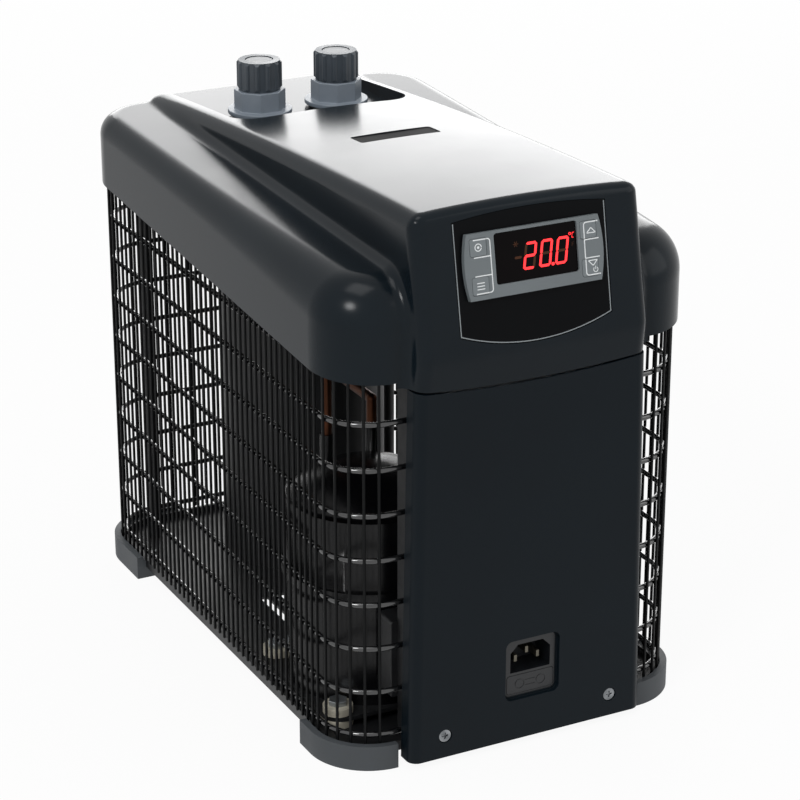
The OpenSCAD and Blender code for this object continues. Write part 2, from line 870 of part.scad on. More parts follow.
module controller_housing() {
  color([0.12, 0.12, 0.13]) on_face() difference() {
    face_rect(housing_w, housing_h, small_r, housing_front - housing_depth, housing_front);
    face_rect(
      housing_w - 2 * housing_wall, housing_h - 2 * housing_wall, small_r,
      housing_front - housing_depth + housing_wall, housing_front + over
    );
    for (i = [-2 : 2]) translate([i * terminal_pitch, bezel_mid, housing_front - housing_depth])
      bore(housing_wall, terminal_hole_d);
  }
}

terminal_pitch = 10;
terminal_hole_d = 4;
module_t = 6;
module_gap = 0.3;
digit_proud = 0.4;
display_front = bezel_top - window_sink - window_t - module_gap;

// Segment of a figure: a bar with pointed ends
seg_l = 6.4;
seg_w = 1.5;
digit_h = 13.6;
digit_pitch = 10.4;

module segment(l) {
  h = seg_w / 2;
  polygon([[-l / 2, 0], [-l / 2 + h, h], [l / 2 - h, h], [l / 2, 0], [l / 2 - h, -h], [-l / 2 + h, -h]]);
}

// Figures are read as lists of lit segments: top, middle, low, and the four uprights
figure_two = [1, 1, 1, 0, 1, 1, 0];
figure_nought = [1, 0, 1, 1, 1, 1, 1];

module figure(lit) {
  reach = digit_h / 2 - seg_w / 2;
  side = seg_l / 2 + seg_gap;
  for (i = [0 : 2]) if (lit[i] == 1) translate([0, (1 - i) * reach]) segment(seg_l);
  if (lit[3] == 1) translate([-side, reach / 2]) rotate(90) segment(seg_l);
  if (lit[4] == 1) translate([side, reach / 2]) rotate(90) segment(seg_l);
  if (lit[5] == 1) translate([-side, -reach / 2]) rotate(90) segment(seg_l);
  if (lit[6] == 1) translate([side, -reach / 2]) rotate(90) segment(seg_l);
}

seg_gap = 0.5;
digits_x = 4;
module_margin = 3;

module display_module() {
  color([0.9, 0.15, 0.12]) on_face() translate([window_x, bezel_mid + window_up, 0]) {
    translate([0, 0, display_front - module_t]) linear_extrude(module_t - digit_proud)
      round_rect(window_w - module_margin, module_h, small_r);
    translate([digits_x, 0, display_front - digit_proud]) linear_extrude(digit_proud) {
      translate([-digit_pitch, 0]) figure(figure_two);
      figure(figure_nought);
      translate([digit_pitch, 0]) figure(figure_nought);
      translate([digit_pitch / 2, -digit_h / 2]) circle(d = seg_w);
    }
  }
}

housing_inner_h = housing_h - 2 * housing_wall;
module_clear = 0.5;
module_h = housing_inner_h - 2 * (window_up + module_clear);

module controller_board() {
  color([0.1, 0.35, 0.2]) on_face() translate([0, bezel_mid, 0]) {
    board_back = housing_front - housing_depth + housing_wall;
    board_front = display_front - module_t;
    low = -housing_inner_h / 2;
    half = housing_w / 2 - housing_wall - small_r;
    span([-half, low, board_back], [half, low + board_t, board_front - plunger_room]);
    for (i = [-2 : 2]) span(
      [i * terminal_pitch - terminal_w / 2, low + board_t, board_back],
      [i * terminal_pitch + terminal_w / 2, low + board_t + terminal_h, board_back + terminal_w]
    );
    span(
      [-relay_w / 2, low + board_t, board_back + relay_set],
      [relay_w / 2, low + board_t + relay_h, board_back + relay_set + relay_w]
    );
    // Upright board behind the keys and the display
    span(
      [-half, low + board_t, board_front - plunger_room - board_t],
      [half, -low - fit_clear, board_front - plunger_room]
    );
    // Carrier between the upright board and the display
    span(
      [window_x - carrier_half, -carrier_half_h, board_front - plunger_room],
      [window_x + carrier_half, carrier_half_h, board_front]
    );
    // Tactile switches under the key plungers
    for (sx = [-1, 1], sy = [-1, 1]) translate(key_place(sx, sy))
      translate([0, 0, board_front - plunger_room])
        cylinder(h = switch_reach, d = plunger_d);
  }
}

plunger_room = 2;
terminal_w = 8;
terminal_h = 10;
relay_w = 15;
relay_h = 14;
relay_set = 16;
carrier_half = 16;
carrier_half_h = 8;
switch_reach = bezel_top + key_proud - key_t - plunger_len - key_travel - rest_gap
  - (display_front - module_t - plunger_room);

// Clips slide along the housing's sides and press against the hood's inner face
clip_w = 10;
clip_t = 4;
clip_len = 22;
clip_hook = 3.5;

module controller_clips() {
  back = -plate_depth - plate_backing;
  near = housing_w / 2;
  color([0.9, 0.45, 0.1]) on_face() translate([0, bezel_mid, 0]) both() {
    span([near, -clip_w / 2, back - clip_len], [near + clip_t, clip_w / 2, back]);
    span([near, -clip_w / 2, back - clip_t], [near + clip_t + clip_hook, clip_w / 2, back]);
  }
}

// Front panel

panel_back_gap = 0.3;
panel_back_y = cage_front_y - panel_back_gap;
back_edge_r = 0.8;

module panel_block(shrink) {
  hull() for (s = [-1, 1]) {
    translate([s * (panel_half_w - panel_edge_r), panel_face_y + panel_edge_r, 0])
      rotate([0, -s * side_taper, 0])
        cylinder(h = seam_h + over, r = panel_edge_r - shrink, $fn = hull_fn);
    translate([s * (panel_half_w - back_edge_r - shrink), panel_back_y - back_edge_r, 0])
      rotate([0, -s * side_taper, 0])
        cylinder(h = seam_h + over, r = back_edge_r, $fn = hull_fn);
  }
}

// Outline of a round-cornered box through the panel, from the face to a depth
module inlet_box(w, h, r, from_depth, to_depth) {
  translate([inlet_x, panel_face_y + to_depth, inlet_h]) rotate([90, 0, 0])
    linear_extrude(to_depth - from_depth) round_rect(w, h, r);
}

inlet_step = 1.1;
inlet_step_depth = 2.8;
inlet_r = 4;
socket_face_w = inlet_recess_w - 2 * inlet_step - 2 * fit_clear;
socket_flange_h = inlet_recess_h - 2 * inlet_step - 2 * fit_clear;
socket_body_w = 28.4;
socket_body_h = 30;
socket_depth = 30;
screw_boss_d = 11;
counterbore_d = 8;
counterbore_depth = 3;

module front_panel() {
  color([0.07, 0.08, 0.09]) difference() {
    panel_block(0);
    difference() {
      translate([0, panel_wall, 0]) panel_hollow();
      inlet_box(
        inlet_recess_w + 2 * panel_wall, inlet_recess_h + 2 * panel_wall,
        inlet_r + panel_wall, -over, inlet_recess_depth + panel_wall
      );
      for (s = [-1, 1]) translate([s * panel_screw_x, panel_face_y, panel_screw_h])
        rotate([-90, 0, 0]) cylinder(h = panel_proud + frame_set, d = screw_boss_d);
      for (h = panel_rib_heights) span(
        [-panel_half_w, panel_face_y, h],
        [panel_half_w, panel_face_y + panel_wall + panel_rib, h + rib_w]
      );
    }
    span(
      [-panel_half_w - over, panel_face_y - over, -over],
      [panel_half_w + over, panel_back_y + over, panel_low_h]
    );
    difference() {
      span(
        [-panel_half_w - over, panel_face_y - over, panel_low_h],
        [panel_half_w + over, panel_back_y + over, seam_h + 2 * over]
      );
      seam_slab(seam_gap, panel_face_y - 2 * over, panel_back_y + 2 * over);
    }
    inlet_box(inlet_recess_w, inlet_recess_h, inlet_r, -over, inlet_step_depth);
    inlet_box(
      inlet_recess_w - 2 * inlet_step, inlet_recess_h - 2 * inlet_step,
      inlet_r - inlet_step, -over, inlet_recess_depth
    );
    inlet_box(
      socket_body_w + 2 * fit_clear, socket_body_h + 2 * fit_clear,
      small_r, -over, inlet_recess_depth + panel_wall + over
    );
    for (s = [-1, 1]) translate([s * panel_screw_x, panel_face_y, panel_screw_h]) {
      rotate([-90, 0, 0]) bore(panel_proud, screw_hole_d);
      translate([0, -over, 0]) rotate([-90, 0, 0])
        cylinder(h = counterbore_depth + over, d = counterbore_d);
    }
  }
}

panel_rib = 4;
panel_rib_heights = [76, 120, 164];

module panel_hollow() {
  hull() for (s = [-1, 1]) {
    translate([s * (panel_half_w - panel_edge_r), panel_face_y + panel_edge_r - panel_wall, 0])
      rotate([0, -s * side_taper, 0]) translate([0, panel_wall, 0])
        cylinder(h = seam_h + over, r = panel_edge_r - panel_wall, $fn = hull_fn);
    translate([s * (panel_half_w - panel_wall), panel_back_y + over, 0])
      rotate([0, -s * side_taper, 0]) translate([-s * back_edge_r, 0, 0])
        cylinder(h = seam_h + over, r = back_edge_r, $fn = hull_fn);
  }
}

cross_depth = 1.2;
cross_w = 1;
cross_len = 3.8;

module panel_screws() {
  color([0.12, 0.12, 0.13]) for (s = [-1, 1])
    translate([s * panel_screw_x, panel_face_y + counterbore_depth, panel_screw_h])
      rotate([90, 0, 0]) difference() {
        union() {
          cylinder(h = screw_head_t, d = screw_head_d);
          translate([0, 0, -panel_screw_len]) cylinder(h = panel_screw_len, d = screw_d);
        }
        for (a = [0, 90]) rotate([0, 0, a])
          span(
            [-cross_len / 2, -cross_w / 2, screw_head_t - cross_depth],
            [cross_len / 2, cross_w / 2, screw_head_t + over]
          );
      }
}

panel_screw_len = panel_proud - counterbore_depth + frame_set + frame_sheet + 3;

// Mains inlet: local X to the right, local Y up, local Z out of the case
module on_inlet() {
  translate([inlet_x, panel_face_y + inlet_recess_depth, inlet_h]) rotate([90, 0, 0]) children();
}

cavity_mid = 5.6;
cavity_chamfer = 4.6;
drawer_mid = -10;
drawer_pocket_w = 25;
drawer_pocket_h = 8.6;
drawer_depth = 23.5;
drawer_face_w = 29;
drawer_face_h = 11;
drawer_face_t = 1.6;

// The connector's outline: a rectangle with its two upper corners cut off
module cavity_outline() {
  w = cavity_w / 2;
  h = cavity_h / 2;
  polygon([
    [-w, -h], [w, -h], [w, h - cavity_chamfer], [w - cavity_chamfer, h],
    [-w + cavity_chamfer, h], [-w, h - cavity_chamfer]
  ]);
}

module inlet_socket() {
  front = inlet_recess_depth - inlet_step_depth;
  color([0.09, 0.1, 0.11]) on_inlet() difference() {
    union() {
      linear_extrude(front) round_rect(socket_face_w, socket_flange_h, inlet_r - inlet_step);
      translate([0, 0, -socket_depth]) linear_extrude(socket_depth)
        round_rect(socket_body_w, socket_body_h, small_r);
    }
    translate([0, cavity_mid, front - cavity_depth]) linear_extrude(cavity_depth + over)
      cavity_outline();
    translate([0, drawer_mid, front - drawer_depth - rest_gap])
      linear_extrude(drawer_depth + over)
        round_rect(drawer_pocket_w, drawer_pocket_h, small_r);
    translate([0, drawer_mid, front - drawer_face_t - rest_gap]) linear_extrude(front + over)
      round_rect(drawer_face_w + 2 * run_clear, drawer_face_h + 2 * run_clear, small_r);
    for (p = pin_places) translate([0, 0, -socket_depth - over]) span(
      [p.x - pin_t / 2 - fit_clear, p.y - pin_w / 2 - fit_clear, 0],
      [p.x + pin_t / 2 + fit_clear, p.y + pin_w / 2 + fit_clear, socket_depth + over]
    );
  }
}

pin_t = 2;
pin_w = 4;
pin_x = 7;
pin_rise = 2;
pin_len = 12;
tab_len = 9;
pin_places = [
  [-pin_x, cavity_mid - pin_rise], [pin_x, cavity_mid - pin_rise], [0, cavity_mid + pin_rise]
];

module inlet_pins() {
  cavity_floor = inlet_recess_depth - inlet_step_depth - cavity_depth;
  color([0.8, 0.7, 0.45]) on_inlet() for (p = pin_places) span(
    [p.x - pin_t / 2, p.y - pin_w / 2, -socket_depth - tab_len],
    [p.x + pin_t / 2, p.y + pin_w / 2, cavity_floor + pin_len]
  );
}

fuse_d = 5.2;
fuse_len = 20;
fuse_cap = 5;
fuse_from_back = 5;

module fuse_drawer() {
  front = inlet_recess_depth - inlet_step_depth;
  back = front - drawer_depth;
  w = drawer_pocket_w - 2 * run_clear;
  h = drawer_pocket_h - 2 * run_clear;
  color([0.1, 0.11, 0.12]) on_inlet() translate([0, drawer_mid, 0]) difference() {
    union() {
      translate([0, 0, back]) linear_extrude(drawer_depth) round_rect(w, h, small_r - run_clear);
      translate([0, 0, front - drawer_face_t]) linear_extrude(drawer_face_t)
        round_rect(drawer_face_w, drawer_face_h, small_r);
    }
    // Trough that holds the fuse across the drawer, open at the top
    span(
      [
        -fuse_len / 2 - fit_clear, -fuse_d / 2 - fit_clear,
        back + fuse_from_back - fuse_d / 2 - fit_clear
      ],
      [fuse_len / 2 + fit_clear, h, back + fuse_from_back + fuse_d / 2 + fit_clear]
    );
    // Raised fuse sign: two rings cut round, and a line
    for (s = [-1, 1]) translate([s * sign_x, 0, front - sign_cut]) difference() {
      cylinder(h = sign_cut + over, d = sign_d);
      translate([0, 0, -over]) cylinder(h = sign_cut + 3 * over, d = sign_d - 2 * sign_line);
    }
    for (s = [-1, 1]) translate([0, 0, front - sign_cut]) span(
      [-sign_x + sign_d / 2 + sign_line, s * sign_half - sign_line / 2, 0],
      [sign_x - sign_d / 2 - sign_line, s * sign_half + sign_line / 2, sign_cut + over]
    );
  }
}

sign_cut = 0.3;
sign_x = 6.6;
sign_d = 6;
sign_line = 0.5;
sign_half = 1.6;

module fuse() {
  back = inlet_recess_depth - inlet_step_depth - drawer_depth;
  color([0.85, 0.86, 0.88]) on_inlet()
    translate([-fuse_len / 2, drawer_mid, back + fuse_from_back]) rotate([0, 90, 0]) {
      cylinder(h = fuse_cap, d = fuse_d);
      cylinder(h = fuse_len, d = fuse_d - 2 * fuse_step);
      translate([0, 0, fuse_len - fuse_cap]) cylinder(h = fuse_cap, d = fuse_d);
    }
}

fuse_step = 0.2;

// Compressor

can_side_gap = 10.8;
can_x = can_side_gap + can_d / 2 - cage_half_w;
can_y = -84;
plate_sheet = 2.4;
plate_corner_r = 12;
grommet_h = 12;
grommet_d = 17;
grommet_inset = 9.2;
grommet_gap = 0.8;
grommet_reach = (can_d / 2 + grommet_d / 2 + grommet_gap) * cos(45);
plate_w = 2 * (grommet_reach + grommet_inset);
can_plate_h = tray_top_h + grommet_h / 2 - plate_sheet / 2;
can_dome = 18;
can_seam_w = 2.5;
can_seam_h = 5;
stub_d = 8;
stub_len = 10;
bolt_d = 6;
bolt_head_d = 11;
bolt_head_t = 3;

grommet_places = [
  for (sx = [-1, 1], sy = [-1, 1])
    [can_x + sx * grommet_reach, can_y + sy * grommet_reach]
];

can_bottom_h = can_plate_h + plate_sheet;
can_seam_share = 0.5;
dome_step = 1;
can_mid_h = can_bottom_h + can_h * can_seam_share;

module compressor_can() {
  r = can_d / 2;
  top_r = r - dome_step;
  dome_r = (top_r * top_r + can_dome * can_dome) / (2 * can_dome);
  color([0.03, 0.03, 0.035]) translate([can_x, can_y, 0]) {
    translate([0, 0, can_bottom_h]) cylinder(h = can_h - can_dome, r = r);
    intersection() {
      translate([0, 0, can_bottom_h + can_h - dome_r]) sphere(dome_r, $fn = 128);
      translate([0, 0, can_mid_h]) cylinder(h = can_h, r = top_r);
    }
    translate([0, 0, can_mid_h]) cylinder(h = can_seam_h, r = r + can_seam_w);
    translate([stub_out_x, stub_y, can_bottom_h]) cylinder(h = can_h + stub_len, d = stub_d);
    translate([stub_in_x, stub_y, can_bottom_h]) cylinder(h = can_h + stub_len, d = stub_d);
    translate([0, -r + terminal_set, terminal_mid_h]) rotate([90, 0, 0])
      cylinder(h = terminal_set + terminal_neck, d = terminal_d);
  }
}

stub_y = 24;
stub_out_x = 14;
stub_in_x = -14;
terminal_set = 6;
terminal_neck = 2.5;
terminal_d = 26;
terminal_share = 0.3;
terminal_mid_h = can_bottom_h + can_h * terminal_share;

module compressor_plate() {
  color([0.07, 0.07, 0.08]) translate([0, 0, can_plate_h]) linear_extrude(plate_sheet) difference() {
    translate([can_x, can_y]) round_rect(plate_w, plate_w, plate_corner_r);
    for (p = grommet_places) translate(p) circle(d = grommet_d - 2 * grommet_waist + 2 * fit_clear);
  }
}

grommet_waist = 2.5;

module compressor_grommets() {
  waist_d = grommet_d - 2 * grommet_waist;
  low = can_plate_h - tray_top_h - fit_clear;
  color([0.82, 0.8, 0.72]) for (p = grommet_places) translate([p.x, p.y, tray_top_h]) difference() {
    union() {
      cylinder(h = low, d = grommet_d);
      cylinder(h = grommet_h, d = waist_d);
      translate([0, 0, low + plate_sheet + 2 * fit_clear])
        cylinder(h = grommet_h - low - plate_sheet - 2 * fit_clear, d = grommet_d);
    }
    bore(grommet_h, bolt_d + 2 * fit_clear);
  }
}

module compressor_bolts() {
  color([0.7, 0.71, 0.73]) for (p = grommet_places) translate([p.x, p.y, tray_top_h]) {
    cylinder(h = grommet_h, d = bolt_d);
    translate([0, 0, grommet_h]) cylinder(h = bolt_head_t, d = bolt_head_d, $fn = 6);
  }
}

cover_w = 40;
cover_h = 46;
cover_t = 16;
cover_wall = 2;

module terminal_cover() {
  front_y = can_y - can_d / 2 - terminal_neck;
  color([0.1, 0.1, 0.11]) translate([can_x, front_y, terminal_mid_h]) rotate([90, 0, 0])
    difference() {
      linear_extrude(cover_t) round_rect(cover_w, cover_h, small_r);
      translate([0, 0, cover_wall]) linear_extrude(cover_t - 2 * cover_wall)
        round_rect(cover_w - 2 * cover_wall, cover_h - 2 * cover_wall, small_r);
    }
}

// Condenser and fan

condenser_side_in = 31.8;
condenser_x = cage_half_w - condenser_side_in;
condenser_y = -58;
condenser_low_h = tray_top_h;
tube_d = 8;
fin_t = 0.7;
pass_pitch = condenser_h / pass_count;
bend_r = pass_pitch / 2;
fan_mid_h = condenser_low_h + condenser_h / 2;

module condenser_fins() {
  color([0.75, 0.76, 0.78]) for (i = [0 : fin_count - 1])
    translate([
      condenser_x, condenser_y - condenser_len / 2 + i * (condenser_len - fin_t) / (fin_count - 1),
      condenser_low_h
    ])
      translate([0, fin_t, 0]) rotate([90, 0, 0]) linear_extrude(fin_t) difference() {
        translate([-condenser_t / 2, 0]) square([condenser_t, condenser_h]);
        for (k = [0 : pass_count - 1])
          translate([0, (k + pass_share) * pass_pitch]) circle(d = tube_d + 2 * fin_clear);
      }
}

pass_share = 0.5;
fin_clear = 0.05;
tube_over = 4;

module condenser_tube() {
  half = condenser_len / 2 + tube_over;
  color([0.72, 0.45, 0.28]) translate([condenser_x, condenser_y, condenser_low_h]) {
    for (k = [0 : pass_count - 1])
      bar(
        [0, -half, (k + pass_share) * pass_pitch],
        [0, half, (k + pass_share) * pass_pitch],
        tube_d
      );
    for (k = [0 : pass_count - 2])
      translate([0, k % 2 == 0 ? -half : half, (k + 1) * pass_pitch])
        rotate([0, 90, 0]) rotate([0, 0, k % 2 == 0 ? 180 : 0])
          rotate_extrude(angle = 180) translate([bend_r, 0]) rotate(0) circle(d = tube_d);
  }
}

shroud_sheet = 1.5;
shroud_gap = 0.2;
shroud_x = condenser_x - condenser_t / 2 - shroud_gap;
ring_depth = 16;
fan_clear = 3;

module fan_shroud() {
  half = condenser_len / 2;
  side_y = half + shroud_gap + shroud_sheet;
  ring_r = fan_d / 2 + fan_clear;
  color([0.5, 0.51, 0.53]) difference() {
    union() {
      span(
        [shroud_x - shroud_sheet, condenser_y - side_y, condenser_low_h],
        [shroud_x, condenser_y + side_y, condenser_low_h + condenser_h]
      );
      translate([shroud_x - ring_depth, condenser_y, fan_mid_h]) rotate([0, 90, 0])
        cylinder(h = ring_depth, r = ring_r + shroud_sheet);
      // Side plates that hold the fins
      for (s = [-1, 1]) translate([0, condenser_y + s * (half + shroud_gap + shroud_sheet / 2), 0])
        span(
          [shroud_x - shroud_sheet, -shroud_sheet / 2, condenser_low_h],
          [condenser_x + condenser_t / 2, shroud_sheet / 2, condenser_low_h + condenser_h]
        );
    }
    translate([shroud_x - ring_depth - over, condenser_y, fan_mid_h]) rotate([0, 90, 0])
      cylinder(h = ring_depth + 2 * over, r = ring_r);
    for (s = [-1, 1], k = [0 : pass_count - 1])
      translate([
        condenser_x, condenser_y + s * (half + shroud_gap + shroud_sheet / 2),
        condenser_low_h + (k + pass_share) * pass_pitch
      ])
        rotate([90, 0, 0]) cylinder(h = shroud_sheet + 2 * over, d = tube_d + 2 * fin_clear, center = true);
  }
}

motor_d = 52;
motor_share = 0.139;
motor_len = cage_w * motor_share;
shaft_d = 5;
shaft_clear = 0.05;
hub_d = 34;
hub_len = 14;
blade_t = 1.6;
blade_count = 5;
blade_pitch = 28;
blade_depth = 12;
rotor_x = shroud_x - ring_depth / 2;
hub_gap = 3;
motor_front_x = rotor_x - hub_len / 2 - hub_gap;
motor_rear_x = motor_front_x - motor_len;
shaft_in = 20;

module fan_motor() {
  color([0.25, 0.26, 0.28]) translate([motor_rear_x, condenser_y, fan_mid_h]) rotate([0, 90, 0])
    difference() {
      union() {
        cylinder(h = motor_len, d = motor_d);
        translate([0, 0, motor_len / 2 - motor_band / 2]) cylinder(h = motor_band, d = motor_d + motor_step);
      }
      translate([0, 0, motor_len - shaft_in]) cylinder(h = shaft_in + over, d = shaft_d + 2 * shaft_clear);
    }
}

motor_band = 10;
motor_step = 3;

module fan_rotor() {
  color([0.12, 0.12, 0.14]) translate([rotor_x, condenser_y, fan_mid_h]) rotate([0, 90, 0]) {
    translate([0, 0, -hub_len / 2]) cylinder(h = hub_len, d = hub_d);
    translate([0, 0, -hub_len / 2 - hub_gap - shaft_in + shaft_end])
      cylinder(h = hub_gap + shaft_in - shaft_end + over, d = shaft_d);
    for (i = [0 : blade_count - 1]) rotate([0, 0, (i + 1 / 2) * 360 / blade_count]) intersection() {
      translate([0, 0, -blade_depth / 2]) rotate([0, 0, 180]) difference() {
        cylinder(h = blade_depth, d = fan_d);
        bore(blade_depth, hub_d - 2 * over);
      }
      rotate([blade_pitch, 0, 0]) span(
        [0, -blade_width / 2, -blade_t / 2],
        [fan_d, blade_width / 2, blade_t / 2]
      );
    }
  }
}

blade_width = 40;
shaft_end = 1;

// Bracket: a band round the motor and three arms to the shroud's ring
arm_w = 8;
arm_t = 3;
arm_count = 3;
band_wall = 1.6;

module motor_bracket() {
  band_r = motor_d / 2 + fit_clear;
  far_r = fan_d / 2 + fan_clear + shroud_sheet + fit_clear;
  back_x = motor_rear_x + bracket_set;
  color([0.45, 0.46, 0.48]) translate([0, condenser_y, fan_mid_h]) rotate([0, 90, 0]) {
    translate([0, 0, back_x]) difference() {
      cylinder(h = bracket_w, r = band_r + band_wall);
      bore(bracket_w, 2 * band_r);
    }
    arm_x = back_x + arm_set;
    reach = shroud_x - shroud_sheet - fit_clear - arm_x;
    for (i = [0 : arm_count - 1]) rotate([0, 0, arm_turn + i * 360 / arm_count])
      translate([0, arm_w / 2, arm_x]) rotate([90, 0, 0]) linear_extrude(arm_w) polygon([
        [band_r + band_wall / 2, 0], [far_r + arm_t, 0], [far_r + arm_t, reach],
        [far_r, reach], [far_r, arm_t], [band_r + band_wall / 2, arm_t]
      ]);
  }
}

bracket_set = 2;
bracket_w = 6;
arm_set = 1;
arm_turn = 30;

// Water tank with its lid, and the coil inside

tank_low_h = tray_top_h;
tank_h = seam_h - tank_seam_gap - tank_low_h;
lid_t = 5;
lid_over = 4;
neck_len = 14;
neck_wall = 2;
neck_out_d = union_bore_d + 2 * neck_wall;
lid_clear = 0.1;

module tank() {
  color([0.15, 0.16, 0.17]) translate([0, union_y, tank_low_h]) difference() {
    union() {
      cylinder(h = tank_h, d = tank_d);
      translate([0, 0, tank_h - lid_t]) cylinder(h = lid_t, d = tank_d + 2 * lid_over);
    }
    translate([0, 0, tank_wall]) cylinder(h = tank_h, d = tank_d - 2 * tank_wall);
  }
}

tank_top_h = tank_low_h + tank_h;

module tank_lid() {
  color([0.12, 0.13, 0.14]) translate([0, union_y, tank_top_h]) difference() {
    union() {
      cylinder(h = lid_t, d = tank_d + 2 * lid_over);
      translate([0, 0, -lid_t]) cylinder(h = lid_t, d = tank_d - 2 * tank_wall - 2 * lid_clear);
      for (s = [-1, 1]) translate([s * union_x, 0, 0]) cylinder(h = lid_t + neck_len, d = neck_out_d);
      for (s = [-1, 1]) translate([s * coil_port_x, coil_port_y, 0])
        cylinder(h = lid_t + port_len, d = port_d);
    }
    for (s = [-1, 1]) translate([s * union_x, 0, -lid_t - over])
      cylinder(h = 2 * lid_t + neck_len + 2 * over, d = union_bore_d);
    for (s = [-1, 1]) translate([s * coil_port_x, coil_port_y, -lid_t - over])
      cylinder(h = 2 * lid_t + port_len + 2 * over, d = line_d + 2 * fit_clear);
  }
}

port_d = 10;
port_len = 6;
coil_port_x = 10;
coil_port_y = -30;

// Coil: open rings, each led up to the next by a slanting link
coil_turns = 8;
coil_r = 30;
coil_pitch = 18;
coil_low = 20;
coil_arc = 330;
coil_tube_d = 6;

module evaporator_coil() {
  step = [coil_r * cos(coil_arc), coil_r * sin(coil_arc)];
  color([0.6, 0.61, 0.64]) translate([0, union_y, tank_low_h + coil_low]) {
    for (i = [0 : coil_turns - 1]) translate([0, 0, i * coil_pitch]) {
      rotate_extrude(angle = coil_arc) translate([coil_r, 0]) circle(d = coil_tube_d);
      translate([step.x, step.y, 0]) sphere(d = coil_tube_d + bend_swell);
      if (i < coil_turns - 1) {
        bar([step.x, step.y, 0], [coil_r, 0, coil_pitch], coil_tube_d);
        translate([coil_r, 0, coil_pitch]) sphere(d = coil_tube_d + bend_swell);
      }
    }
    for (a = [90, 210]) rotate([0, 0, a]) translate([coil_r, 0, tank_wall - coil_low])
      cylinder(h = coil_low - tank_wall, d = coil_tube_d);
  }
}

// Hoses from the tank's necks to the unions' stems
hose_wall = 2.4;

module riser_hoses() {
  low = tank_top_h + lid_t + rest_gap;
  high = stem_low_h + hose_over;
  inner_d = max(neck_out_d, stem_hose_d) + 2 * fit_clear;
  color([0.2, 0.21, 0.22]) for (s = [-1, 1]) translate([s * union_x, union_y, 0]) difference() {
    translate([0, 0, low]) cylinder(h = high - low, d = inner_d + 2 * hose_wall);
    translate([0, 0, low - over]) cylinder(h = high - low + 2 * over, d = inner_d);
  }
}

stem_hose_d = 17;
stem_len = 34;
hose_over = 14;
thread_len = 16;
stem_low_h = recess_floor_h - stem_len;

// Hose unions

gasket_t = 2;
gasket_d = 33;
flange_t = 2.6;
flange_low_h = recess_floor_h + gasket_t;
octagon_low_h = flange_low_h + flange_t;
octagon_top_h = octagon_low_h + octagon_h;
nut_low_h = octagon_top_h + rest_gap;
nut_top_h = nut_low_h + nut_h;
lip_h = 3.6;
lip_low_h = nut_top_h - lip_h;
disc_flange_t = 1.2;
disc_top_set = 0.4;
neck_top_h = lip_low_h - disc_flange_t - 2 * rest_gap;
octagon_sides = 8;
octagon_turn_share = 0.5;

module union_body(s) {
  octagon_r = octagon_af / 2 / cos(180 / octagon_sides);
  color([0.5, 0.53, 0.57]) translate([s * union_x, union_y, 0]) difference() {
    union() {
      translate([0, 0, stem_low_h]) cylinder(h = stem_len - thread_len, d = stem_hose_d);
      translate([0, 0, recess_floor_h - thread_len])
        cylinder(h = thread_len + gasket_t + over, d = stem_d);
      translate([0, 0, flange_low_h]) cylinder(h = flange_t, d = flange_d);
      translate([0, 0, octagon_low_h]) rotate([0, 0, 360 / octagon_sides * octagon_turn_share])
        cylinder(h = octagon_h, r = octagon_r, $fn = octagon_sides);
      translate([0, 0, octagon_top_h]) cylinder(h = neck_top_h - octagon_top_h, d = neck_d);
    }
    translate([0, 0, stem_low_h - over])
      cylinder(h = neck_top_h - stem_low_h + 2 * over, d = union_bore_d);
  }
}

module water_in_body() union_body(-1);
module water_out_body() union_body(1);

module union_gaskets() {
  color([0.12, 0.12, 0.13]) for (s = [-1, 1]) translate([s * union_x, union_y, recess_floor_h])
    difference() {
      cylinder(h = gasket_t, d = gasket_d);
      bore(gasket_t, stem_d + 2 * fit_clear);
    }
}

back_nut_af = 30;
back_nut_t = 6;

module union_back_nuts() {
  nut_r = back_nut_af / 2 / cos(30);
  color([0.16, 0.17, 0.18]) for (s = [-1, 1])
    translate([s * union_x, union_y, recess_floor_h - hood_wall - back_nut_t]) difference() {
      cylinder(h = back_nut_t, r = nut_r, $fn = 6);
      bore(back_nut_t, stem_d + 2 * fit_clear);
    }
}

rib_count = 12;
rib_d = 3.6;
nut_chamfer = 1.6;
thread_clear = 0.3;

module union_nut(s) {
  core_r = nut_d / 2 - rib_sink;
  color([0.24, 0.26, 0.29]) translate([s * union_x, union_y, nut_low_h]) difference() {
    union() {
      cylinder(h = nut_h, r = core_r);
      intersection() {
        for (i = [0 : rib_count - 1]) rotate([0, 0, i * 360 / rib_count])
          translate([nut_d / 2 - rib_d / 2, 0, 0]) cylinder(h = nut_h, d = rib_d, $fn = 24);
        union() {
          cylinder(h = nut_chamfer, r1 = nut_d / 2 - nut_chamfer, r2 = nut_d / 2);
          translate([0, 0, nut_chamfer]) cylinder(h = nut_h - 2 * nut_chamfer, d = nut_d + over);
          translate([0, 0, nut_h - nut_chamfer])
            cylinder(h = nut_chamfer, r1 = nut_d / 2, r2 = nut_d / 2 - nut_chamfer);
        }
      }
    }
    translate([0, 0, -over]) cylinder(h = nut_h - lip_h + over, d = neck_d + 2 * thread_clear);
    bore(nut_h, disc_d + 2 * run_clear);
  }
}

rib_sink = 1.1;

module water_in_nut() union_nut(-1);
module water_out_nut() union_nut(1);

module union_disc(s) {
  low = neck_top_h + rest_gap;
  color([0.62, 0.63, 0.65]) translate([s * union_x, union_y, low]) {
    cylinder(h = disc_flange_t, d = neck_d);
    cylinder(h = nut_top_h - disc_top_set - low, d = disc_d);
  }
}

module water_in_disc() union_disc(-1);
module water_out_disc() union_disc(1);

// Refrigerant circuit

drier_d = 19;
drier_len = 96;
drier_cone = 8;
drier_x = cage_half_w - post_side_in;
drier_y = 40;
drier_rise = 26;
drier_low_h = tray_top_h + drier_rise;

